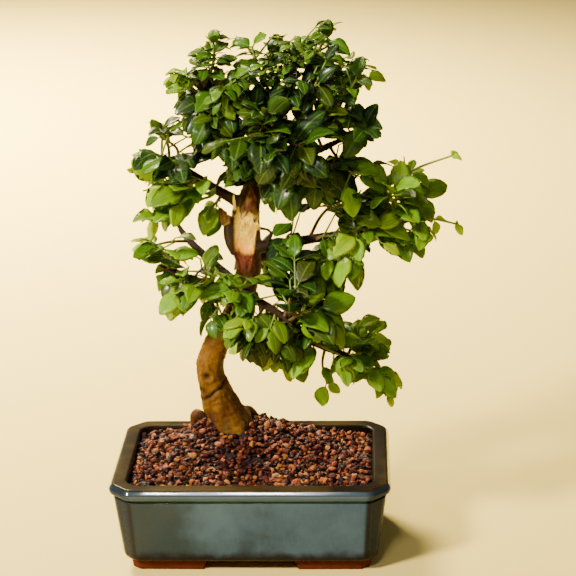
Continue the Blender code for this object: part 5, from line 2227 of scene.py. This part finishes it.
@dataclass
class Crown:
    """All the leafy sprays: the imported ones, made finer, and the shoots between them."""

    habit: Habit = Habit()
    form: BladeForm = field(default_factory=BladeForm)
    fit: float = 0.00012
    # What has to stay open before the old cut, and how the line of sight to it slopes.
    sight_x: Span = (-0.021, 0.010)
    sight_z: Span = (0.212, 0.276)
    sight_rise: float = 0.31
    sight_drift: float = 0.04
    sight_near: float = 0.008
    cut_depth: float = 0.012
    shoot_range: Span = (0.30, 0.88)
    shoot_counts: tuple[int, int] = (5, 8)
    shoot_length: Span = (0.010, 0.021)
    shoot_leaf: Span = (0.50, 0.96)
    # Shares of a shoot where leaves stand, with the sides they leave to, or 0 for its tip.
    shoot_places: tuple[tuple[float, tuple[int, ...]], ...] = (
        (0.55, (1, -1)),
        (1.0, (1, -1)),
        (1.0, (0,)),
    )
    shoot_tries: int = 10
    shoot_spread: Span = (0.6, 2.0)
    shoot_lift: float = 0.12
    shoot_radii: Triple = (0.00075, 0.0007, 0.0006)
    shoot_youth: Span = (0.65, 1.0)
    stem_radii: Span = (0.0013, 0.0008)
    stem_step: float = 0.003
    stem_sides: int = 6
    solid_step: float = 0.004
    solid_sides: int = 5
    filler_reach: float = 0.034
    filler_seats: int = 80
    filler_spill: float = 0.9
    filler_sizes: tuple[float, ...] = (1.0, 0.75)
    shrinks: tuple[float, ...] = (1.0, 0.88, 0.76, 0.64, 0.54)
    tight: float = 0.75
    hopeless: float = 5.0
    longest: float = 0.060
    free: tuple[str, ...] = ("far_right_twig", "far_right_low_twig")
    fewest: int = 3
    top_range: Span = (0.335, 0.375)
    top_loss: float = 0.34
    top_dim: float = 0.13
    middle: float = 0.025
    side_range: Span = (0.040, 0.095)
    side_youth_and_light: float = 0.07
    sink: float = 0.0022
    stalk_clear: float = 0.5
    envelope: Envelope = field(default_factory=Envelope)
    room: Room = field(default_factory=Room)
    stems: list[Sheet] = field(default_factory=list)

    def seats(self) -> Seats:
        """Every place on the branches where a spray can stand, at even steps."""
        habit = self.habit
        lines = [(line, habit.seat_from) for line in BRANCHES.values()]
        lines.append((TRUNK[-habit.trunk_seat_stations :], habit.trunk_seat_from))
        centres, axes, radii, at_end = [], [], [], []
        for line, first in lines:
            rows = np.array(line)
            steps = np.linalg.norm(np.diff(rows[:, :3], axis=0), axis=1)
            places = np.concatenate(([0.0], np.cumsum(steps)))
            total = places[-1]
            count = int(total * (1 - first) / habit.seat_spacing)
            along = total * (first + (1 - first) * np.arange(count + 1) / count)
            part = np.clip(np.searchsorted(places, along) - 1, 0, len(steps) - 1)
            share = ((along - places[part]) / steps[part])[:, None]
            spots = rows[part] * (1 - share) + rows[part + 1] * share
            centres.append(spots[:, :3])
            radii.append(spots[:, 3])
            axes.append(unit(rows[part + 1, :3] - rows[part, :3]))
            at_end.append(np.arange(count + 1) == count)
        return Seats(*(np.concatenate(column) for column in (centres, axes, radii, at_end)))

    def twigs(self, spray: Spray, seats: Seats) -> Array:
        """A spray's twig from every seat.

        A twig is a curve of the second degree: it leaves its seat square to the branch and bends
        over to where its last leaves begin.

        Args:
            spray: The spray.
            seats: Where it could stand.

        Returns:
            Rows of x, y, z and radius, for each seat.
        """
        habit = self.habit
        reach = np.array(spray.reach)
        aim = reach - seats.centres
        tip = reach - unit(aim) * habit.reach_of_leaf * spray.leaf
        square = unit(aim - seats.axes * np.sum(aim * seats.axes, axis=1, keepdims=True))
        end = seats.at_end[:, None]
        out = np.where(end, seats.axes, square)
        off = np.where(seats.at_end, 0.0, seats.radii) + habit.gap
        start = seats.centres + out * off[:, None]
        run = distance(tip, start)[:, None]
        bend = start + out * habit.twig_bend * run + UP * habit.twig_lift * run
        share = np.array(habit.twig_shares)[None, :, None]
        first = start[:, None] * (1 - share) + bend[:, None] * share
        second = bend[:, None] * (1 - share) + tip[:, None] * share
        places = first * (1 - share) + second * share
        radii = habit.twig_root + share * (habit.twig_tip - habit.twig_root)
        return np.concatenate((places, np.broadcast_to(radii, places.shape[:2] + (1,))), axis=2)

    def along(self, twig: Array, share: float) -> tuple[Array, Array]:
        """A place on a twig.

        Args:
            twig: Its rows.
            share: The share of its length.

        Returns:
            The place there, and the way that the twig runs.
        """
        shares = self.habit.twig_shares
        part = min(int(np.searchsorted(shares, share)) - 1, len(shares) - 2)
        part = max(part, 0)
        low, high = twig[part, :3], twig[part + 1, :3]
        within = (share - shares[part]) / (shares[part + 1] - shares[part])
        return low + (high - low) * within, unit(high - low)

    def leaf_frames(
        self,
        along: Array,
        side: Array,
        forward: float,
        light: Array,
        tries: Array,
    ) -> Array:
        """The frames of a leaf for many draws.

        Args:
            along: The way that the twig runs.
            side: The way that the leaf leaves it.
            forward: How far the leaf leans along the twig.
            light: The way to the light.
            tries: Rows of swing, lift and roll.

        Returns:
            A matrix for each row: its columns run across the leaf, along it and up from it.
        """
        habit = self.habit
        out = unit(along * (forward + habit.swing * tries[:, :1]) + side)
        out = unit(out + UP * (habit.lift * tries[:, 1:2] - habit.droop))
        face = light + side * habit.roll * tries[:, 2:3]
        face = unit(face - out * np.sum(face * out, axis=1, keepdims=True))
        return np.stack((np.cross(out, face), out, face), axis=2)

    def light(self, spray: Spray) -> Array:
        """The way to the light for a spray: up and to the front, or to the back."""
        behind = spray.reach[1] > self.habit.back_from
        return np.array(self.habit.light_back if behind else self.habit.light_front)

    def pair_ways(
        self, twig: Array, share: float, pair: int, draw: Draw
    ) -> tuple[Array, Array, Array, float]:
        """A pair's root, the twig's way there, the pair's side and its lean.

        Args:
            twig: The twig's rows.
            share: Where along it the pair stands.
            pair: The pair's number, which turns it from the last.
            draw: The random draws.

        Returns:
            The root, the twig's way, the side and the lean.
        """
        habit = self.habit
        root, along = self.along(twig, share)
        forward = habit.forward[0] + share**2 * (habit.forward[1] - habit.forward[0])
        level = Vector(unit(np.cross(along, UP)))
        turn = habit.pair_turns[pair % 2] + draw.uniform(-habit.turn_spread, habit.turn_spread)
        side = np.array(Matrix.Rotation(turn, 3, Vector(along)) @ level)
        return root, along, side, forward

    def stances(
        self, spray: Spray, twig: Array, seed: int, tries: int, spread: Span
    ) -> Iterator[tuple[int, float, Array, float, Array]]:
        """A spray's opposite leaves, one after another.

        Args:
            spray: The spray.
            twig: Its rows.
            seed: The seed of the draws.
            tries: How many stances are drawn for each leaf.
            spread: How far the first and the last stance stray.

        Yields:
            The leaf's number in the spray, its share of the twig, its root, size and frames.
        """
        habit, light, draw = self.habit, self.light(spray), np.random.default_rng(seed)
        for pair, share in enumerate(habit.pair_shares(spray.pairs)):
            root, along, side, forward = self.pair_ways(twig, share, pair, draw)
            for way in (1, -1):
                grown = draw.uniform(1.0 - habit.size_spread, 1.0 + habit.size_spread)
                size = spray.leaf * (habit.size_at_foot - habit.size_loss * share) * grown
                turns = draw.uniform(-1.0, 1.0, (tries, 3)) * np.linspace(*spread, tries)[:, None]
                frames = self.leaf_frames(along, side * way, forward, light, turns)
                yield pair * 4 + way, share, root, size, frames

    def packed_twig(self, spray: Spray, seats: Seats, solid_places: Array) -> tuple[int, Array]:
        """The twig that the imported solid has: the one whose foot ring is among its vertices.

        Args:
            spray: The spray.
            seats: Where it could stand.
            solid_places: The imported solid's vertices.

        Returns:
            The seat's number and the twig's rows.
        """
        twigs = self.twigs(spray, seats)
        apart = distance(twigs[:, 0, None, :3], solid_places[None])
        ring = np.sort(np.round(apart, 6), axis=1)[:, :4]
        error = np.abs(ring - self.habit.twig_root).max(axis=1)
        best = int(np.argmin(error))
        if error[best] > self.fit:
            LOG.warning("%s: its twig lies %.2f mm off", spray.name, error[best] * 1000)
        return best, twigs[best]

    def packed_leaves(
        self, number: int, spray: Spray, twig: Array, solid_places: Array
    ) -> list[Leaf]:
        """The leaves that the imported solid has: those whose tips are among its vertices.

        Args:
            number: The spray's number, which seeds its draws.
            spray: The spray.
            twig: Its rows.
            solid_places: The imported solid's vertices.

        Returns:
            The leaves, without those that would stand before daylight almost whole.
        """
        habit = self.habit
        bend = math.sin(habit.arch) / habit.arch, (math.cos(habit.arch) - 1) / habit.arch
        leaves = []
        stances = self.stances(spray, twig, habit.seed + number, habit.tries, habit.try_spread)
        for place, share, root, size, frames in stances:
            reach = habit.petiole * size + size * bend[0]
            tips = frames @ np.array((0.0, reach, size * bend[1] + habit.keel / 2)) + root
            apart = distance(tips[:, None], solid_places[None]).min(axis=1)
            best = int(np.argmin(apart))
            if apart[best] < self.fit:
                own = number * habit.seeds_each + place
                youth = self.youth(spray, share, own, root)
                size *= 1.0 - self.top_loss * self.upness(root)
                leaf = Leaf(root, frames[best], size, youth, habit.packed_leaf_seed + own)
                leaves.append(self.fitted(leaf))
        leaves.sort(key=lambda pair: pair[0])
        few = len(leaves) if spray.name in self.free else self.fewest
        kept = [leaf for spill, leaf in leaves[few:] if spill < self.hopeless]
        return [leaf for _, leaf in leaves[:few]] + kept

    def upness(self, place: Array) -> float:
        """How near a place is to the crown's top, 0 to 1."""
        return float(np.interp(place[2], self.top_range, (0.0, 1.0)))

    def fitted(self, leaf: Leaf) -> tuple[float, Leaf]:
        """A packed leaf, drawn smaller where it would cover daylight, and what it still covers."""
        for share in self.shrinks:
            smaller = replace(leaf, size=leaf.size * share)
            spill = self.envelope.spill(self.form.blades([smaller], self.habit).places)
            if spill <= 1.0:
                break
        return spill, smaller

    def youth(self, spray: Spray, share: float, draw_seed: int, place: Array) -> float:
        """A leaf's youth.

        It is its spray's, more towards the tip and the crown's sides, less at the top, and a
        little of its own. The gain at the sides is partly younger growth and partly painted light
        on the lit outer leaves.

        Args:
            spray: The spray.
            share: Where along the spray the leaf stands.
            draw_seed: The seed of its own part.
            place: Where it stands.

        Returns:
            The youth, from 0 to 1.
        """
        own = np.random.default_rng(self.habit.youth_seed + draw_seed).normal(0.0, 0.10)
        # The crown's sides gain youth: partly younger growth, partly painted light on the lit outer
        # leaves.
        side = float(np.interp(abs(place[0] - self.middle), self.side_range, (0.0, self.side_youth_and_light)))
        own += side - self.top_dim * self.upness(place)
        # A spray's shade tone darkens its leaves as painted shade.
        youth = YOUTH[spray.age] + spray.tone + 0.16 * (share - 0.5) + own
        return float(np.clip(youth, 0.02, 0.98))

    def hides_cut(self, places: Array) -> bool:
        """Whether anything hangs before the old cut, seen from in front and a little above.

        Args:
            places: The vertices of what hangs there.

        Returns:
            Whether any of them hides the cut.
        """
        depth = self.cut_depth - places[:, 1]
        x = places[:, 0] - self.sight_drift * depth
        z = places[:, 2] - self.sight_rise * depth
        inside = (x > self.sight_x[0]) & (x < self.sight_x[1])
        inside &= (z > self.sight_z[0]) & (z < self.sight_z[1])
        return bool(np.any(inside & (depth > self.sight_near)))

    def grow_leaf(self, owner: str, choices: Iterator[Leaf]) -> Optional[Leaf]:
        """The first of a leaf's choices that crosses nothing.

        Args:
            owner: The spray's name.
            choices: The leaf in one stance after another.

        Returns:
            The leaf, or None where every stance crosses something.
        """
        for leaf in choices:
            blade = self.form.blades([leaf], self.habit, self.stalk_clear)
            if self.hides_cut(blade.places) or self.envelope.spill(blade.places) > self.tight:
                continue
            item = solid("", blade)
            if not self.room.clear(item, owner):
                continue
            self.room.add(item)
            return leaf
        return None

    def shoots(self, number: int, spray: Spray, twig: Array) -> list[Leaf]:
        """Side shoots of a twig, each with a pair of leaves and a third at its tip.

        Args:
            number: The spray's number, which seeds the draws.
            spray: The spray.
            twig: Its rows.

        Returns:
            The leaves that found room. The shoots' stems are kept with the others.
        """
        draw = np.random.default_rng(self.habit.shoot_seed + number)
        light = self.light(spray)
        found = []
        upness = self.upness(twig[-1])
        count = round(np.interp(upness, (0.0, 1.0), self.shoot_counts))
        for place, share in enumerate(np.linspace(*self.shoot_range, count)):
            root, along, side, _ = self.pair_ways(twig, share, place + 1, draw)
            way = 1 if (place + number) % 2 else -1
            lean = draw.uniform(0.3, 1.0)
            length = draw.uniform(*self.shoot_length)
            out = unit(side * way + along * lean + UP * draw.uniform(-0.1, 0.45))
            end = root + out * length + UP * length * self.shoot_lift
            leaves = []
            for spot, sides in self.shoot_places:
                foot = root + (end - root) * spot
                level = unit(np.cross(out, UP))
                for turned in sides:
                    size = spray.leaf * draw.uniform(*self.shoot_leaf) * (1.08 - 0.2 * spot)
                    size *= 1.0 - self.top_loss * upness
                    spread = np.linspace(*self.shoot_spread, self.shoot_tries)[:, None]
                    tries = draw.uniform(-1.0, 1.0, (self.shoot_tries, 3)) * spread
                    forward = 0.5 + 0.8 * spot if turned else 4.0
                    sky = light * draw.uniform(0.0, 1.0) * (1.0 - 0.75 * upness)
                    sky = sky + (draw.uniform(-0.5, 0.5), 0.0, 0.5 + 0.3 * upness)
                    frames = self.leaf_frames(out, level * (turned or 0.15), forward, sky, tries)
                    own = int(draw.integers(1 << 20))
                    youth = self.youth(spray, share * 0.6 + 0.55 * spot, own, foot)
                    choices = (Leaf(foot, turn, size, youth, own) for turn in frames)
                    leaf = self.grow_leaf(spray.name, choices)
                    if leaf is not None:
                        leaves.append(leaf)
            if leaves:
                places = (root, (root + end) / 2, end)
                line = np.column_stack((places, self.shoot_radii))
                self.keep_stem(line, *self.shoot_youth)
                found += leaves
        return found

    def keep_stem(self, line: Array, young_from: float, young_to: float) -> None:
        """Adds a stem to what the stems' piece holds.

        Args:
            line: Rows of x, y, z and radius.
            young_from: Its youth at its root.
            young_to: Its youth at its tip.
        """
        rows = smooth_line(line, self.stem_step)
        youth = np.linspace(young_from, young_to, len(rows))
        self.stems.append(tube(rows, self.stem_sides, {"youth": youth}))

    def keep_twig(self, spray: Spray, twig: Array) -> None:
        """Adds a spray's twig to the stems: through its leaves' roots, from inside the branch.

        Args:
            spray: The spray.
            twig: Its rows.
        """
        run = unit(twig[1, :3] - twig[0, :3])
        shares = (0.0, *self.habit.pair_shares(spray.pairs), 1.0)
        rows = [(*(twig[0, :3] - run * self.sink), self.habit.twig_root * 1.25)]
        for share in shares:
            place, _ = self.along(twig, share)
            rows.append((*place, np.interp(share, (0.0, 1.0), self.stem_radii)))
        self.keep_stem(np.array(rows), 0.0, YOUTH[spray.age] + 0.25)

    def filler_twig(self, spray: Spray, seats: Seats, used: set[int]) -> Optional[Array]:
        """A filler's twig, from the nearest free seat from which it crosses nothing.

        Args:
            spray: The filler.
            seats: Where it could stand.
            used: The seats that are taken, to which this one is added.

        Returns:
            The twig's rows, or None where every seat's twig crosses something or daylight.
        """
        twigs = self.twigs(spray, seats)
        aim = np.array(spray.reach) - seats.centres
        far = np.linalg.norm(aim, axis=1)
        onward = self.habit.onward * np.sum(unit(aim) * seats.axes, axis=1)
        cost = np.abs(far - self.filler_reach) - onward
        order = [int(k) for k in np.argsort(cost) if int(k) not in used and far[k] < self.longest]
        for number in order[: self.filler_seats]:
            twig = twigs[number]
            line = smooth_line(twig[1:], self.solid_step)
            item = solid(spray.name, tube(line, self.solid_sides, {}))
            open_air = self.envelope.spill(line[:, :3]) < self.filler_spill
            if open_air and self.room.clear(item) and not self.hides_cut(twig[:, :3]):
                used.add(number)
                self.room.add(item)
                return twig
        return None

    def filler_leaves(self, number: int, spray: Spray, twig: Array) -> list[Leaf]:
        """A filler's opposite leaves, each in the first stance that crosses nothing.

        Args:
            number: The filler's number, which seeds its draws.
            spray: The filler.
            twig: Its rows.

        Returns:
            The leaves that found room.
        """
        habit = self.habit
        leaves = []
        seed = habit.filler_seed + number
        stances = self.stances(spray, twig, seed, habit.filler_tries, habit.filler_spread)
        for place, share, root, size, frames in stances:
            own = habit.filler_leaf_seed + number * habit.seeds_each + place
            youth = self.youth(spray, share, own, root)
            choices = (
                Leaf(root, turn, size * share_of, youth, own)
                for share_of in self.filler_sizes
                for turn in frames
            )
            leaf = self.grow_leaf(spray.name, choices)
            if leaf is not None:
                leaves.append(leaf)
        return leaves

    def start_room(self) -> None:
        """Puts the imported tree, pot and soil in the room that leaves must clear."""
        for name in ("tree", "pot", "soil"):
            mesh = frame["nodes"][name].data
            faces = np.array([list(polygon.vertices) for polygon in mesh.polygons])
            shape = Sheet(vertex_vectors(mesh) - POT_PLACE, np.zeros((0, 4), int), faces)
            self.room.add(solid("", shape))

    def grow(self) -> dict[str, tuple[Spray, list[Leaf]]]:
        """Grows every spray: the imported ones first, then fillers, then side shoots."""
        self.start_room()
        seats = self.seats()
        used: set[int] = set()
        grown: dict[str, tuple[Spray, list[Leaf]]] = {}
        twigs: dict[str, Array] = {}
        for number, spray in enumerate(SPRAYS):
            places = vertex_vectors(frame["nodes"]["spray_" + spray.name].data) - POT_PLACE
            seat, twig = self.packed_twig(spray, seats, places)
            used.add(seat)
            leaves = self.packed_leaves(number, spray, twig, places)
            twigs[spray.name] = twig
            grown[spray.name] = (spray, leaves)
            self.keep_twig(spray, twig)
            line = smooth_line(twig, self.solid_step)
            self.room.add(solid(spray.name, tube(line, self.solid_sides, {})))
        for _, leaves in grown.values():
            for leaf in leaves:
                self.room.add(solid("", self.form.blades([leaf], self.habit, self.stalk_clear)))
        LOG.info("packed leaves: %d", sum(len(leaves) for _, leaves in grown.values()))
        for number, spray in enumerate(FILLERS):
            twig = self.filler_twig(spray, seats, used)
            if twig is None:
                LOG.info("%s: no room", spray.name)
                continue
            self.keep_twig(spray, twig)
            leaves = self.filler_leaves(number, spray, twig)
            LOG.info("%s: %d leaves", spray.name, len(leaves))
            twigs[spray.name] = twig
            grown[spray.name] = (spray, leaves)
        LOG.info("with fillers: %d", sum(len(leaves) for _, leaves in grown.values()))
        for number, (name, (spray, leaves)) in enumerate(grown.items()):
            leaves += self.shoots(number, spray, twigs[name])
        LOG.info("with shoots: %d", sum(len(leaves) for _, leaves in grown.values()))
        return grown

    def build(self) -> None:
        """Builds and dresses the sprays and their stems."""
        gloss_and_coat = {OLD: (0.34, 0.24), GROWN: (0.38, 0.16), YOUNG: (0.42, 0.10)}
        materials = {k: LeafFinish(k.value, *v).dress() for k, v in gloss_and_coat.items()}
        packed = {spray.name for spray in SPRAYS}
        for name, (spray, leaves) in self.grow().items():
            sheet = self.form.blades(leaves, self.habit)
            piece = sheet.build("leaves_" + name, materials[spray.age])
            nodes = ("spray_" + name,) if name in packed else ()
            settle(piece, spray.age.value, *nodes)
        stems = joined(self.stems).build("young_stems", BarkFinish().dress_stem())
        settle(stems, "bark")


@dataclass(frozen=True)
class Lamp:
    """A square soft light: where it hangs and looks, its side, watts, colour and cone."""

    name: str
    place: Triple
    target: Triple
    side: float
    power: float
    colour: Colour
    spread_deg: float = 180.0

    def hang(self) -> None:
        """Hangs the light and turns it to what it looks at."""
        light = bpy.data.lights.new(self.name, "AREA")
        light.shape, light.size = "SQUARE", self.side
        light.energy, light.color = self.power, self.colour
        light.spread = math.radians(self.spread_deg)
        thing = bpy.data.objects.new(self.name, light)
        thing.location = self.place
        thing.rotation_mode = "QUATERNION"
        aim = Vector(self.target) - Vector(self.place)
        thing.rotation_quaternion = aim.to_track_quat("-Z", "Y")
        bpy.context.scene.collection.objects.link(thing)


WARM, COOL = (1.0, 0.90, 0.72), (1.0, 0.94, 1.0)
MIDDLE, RIM = (0.0, 0.0, 0.20), (-0.03, -0.08, 0.07)
CUT, FLOOR = (-0.038, -0.006, 0.248), (-0.75, 1.30, 0.0)

# The key light, the window that the glaze mirrors, a gleam on the old cut, and two soft fills.
LAMPS: tuple[Lamp, ...] = (
    Lamp("key_light", (-2.62, -2.15, 2.85), MIDDLE, 0.60, 390.0, WARM),
    Lamp("window_broad", (-0.19, -1.42, 1.55), RIM, 0.36, 2.6, COOL),
    Lamp("window_left", (-0.31, -1.40, 1.53), RIM, 0.07, 3.0, COOL),
    Lamp("window_right", (-0.13, -1.40, 1.53), RIM, 0.12, 4.6, COOL),
    Lamp("cut_light", (-0.28, -1.70, 0.72), CUT, 0.06, 0.042, WARM, 4.0),
    Lamp("back_light", (-1.40, 2.60, 2.60), MIDDLE, 1.20, 16.0, (1.0, 0.92, 0.75)),
    Lamp("floor_light", (-1.10, 1.80, 1.90), FLOOR, 0.90, 130.0, (1.0, 0.86, 0.50), 80.0),
)


@dataclass
class Stage:
    """The plain floor, the soft lights and the camera."""

    floor_side: float = 16.0
    floor_steps: int = 9
    camera_yaw_deg: float = -2.33639
    camera_pitch_deg: float = 17.92941
    camera_roll_deg: float = -0.98263
    lens_mm: float = 119.77
    sensor_mm: float = 36.0
    sky: Colour = (1.0, 0.95, 0.86)
    sky_strength: float = 0.13
    finish: FloorFinish = FloorFinish()

    def floor(self) -> None:
        """Lays the floor: a flat grid, x and y in even steps."""
        ticks = np.linspace(-self.floor_side / 2, self.floor_side / 2, self.floor_steps)
        x, y = np.meshgrid(ticks, ticks, indexing="ij")
        places = np.column_stack((x.ravel(), y.ravel(), np.zeros(x.size)))
        row, column = np.meshgrid(*[np.arange(self.floor_steps - 1)] * 2, indexing="ij")
        here = (row * self.floor_steps + column).ravel()
        quads = np.stack(
            (here, here + self.floor_steps, here + self.floor_steps + 1, here + 1), axis=1
        )
        Sheet(places, quads).build("floor", self.finish.dress(), moved=False)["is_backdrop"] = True

    def lights(self) -> None:
        """Sets the sky and the lights."""
        world = bpy.data.worlds.new("soft_sky")
        world.use_nodes = True
        backdrop = world.node_tree.nodes["Background"]
        backdrop.inputs["Color"].default_value = (*self.sky, 1.0)
        backdrop.inputs["Strength"].default_value = self.sky_strength
        bpy.context.scene.world = world
        for lamp in LAMPS:
            lamp.hang()

    def camera(self) -> None:
        """Sets the camera where the view of the plant is taken from."""
        yaw, pitch, roll = (
            math.radians(angle)
            for angle in (self.camera_yaw_deg, self.camera_pitch_deg, self.camera_roll_deg)
        )
        ahead = Vector(
            (math.sin(yaw) * math.cos(pitch), math.cos(yaw) * math.cos(pitch), -math.sin(pitch))
        )
        right = Vector((math.cos(yaw), -math.sin(yaw), 0.0))
        above = right.cross(ahead)
        turned_right = right * math.cos(roll) + above * math.sin(roll)
        turned_above = above * math.cos(roll) - right * math.sin(roll)
        data = bpy.data.cameras.new("camera")
        data.lens = self.lens_mm
        data.sensor_width = self.sensor_mm
        thing = bpy.data.objects.new("camera", data)
        matrix = Matrix((turned_right, turned_above, -ahead)).transposed().to_4x4()
        matrix.translation = Vector(EYE + POT_PLACE)
        thing.matrix_world = matrix
        bpy.context.scene.collection.objects.link(thing)
        bpy.context.scene.camera = thing

    def build(self) -> None:
        """Builds the stage."""
        self.floor()
        self.lights()
        self.camera()


def main() -> None:
    """Builds the plant, its pot and the stage."""
    logging.basicConfig(level=logging.INFO, format="%(message)s")
    pot = Pot()
    tree = Tree()
    pot.build()
    Screens().dress()
    tree.build()
    Gravel(pot, tree).build()
    Crown().build()
    Stage().build()
    boxes = {"cad": PACKED_BOX, "visual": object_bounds()}
    lists = {key: [list(corner) for corner in box] for key, box in boxes.items()}


if __name__ == "__main__":
    main()
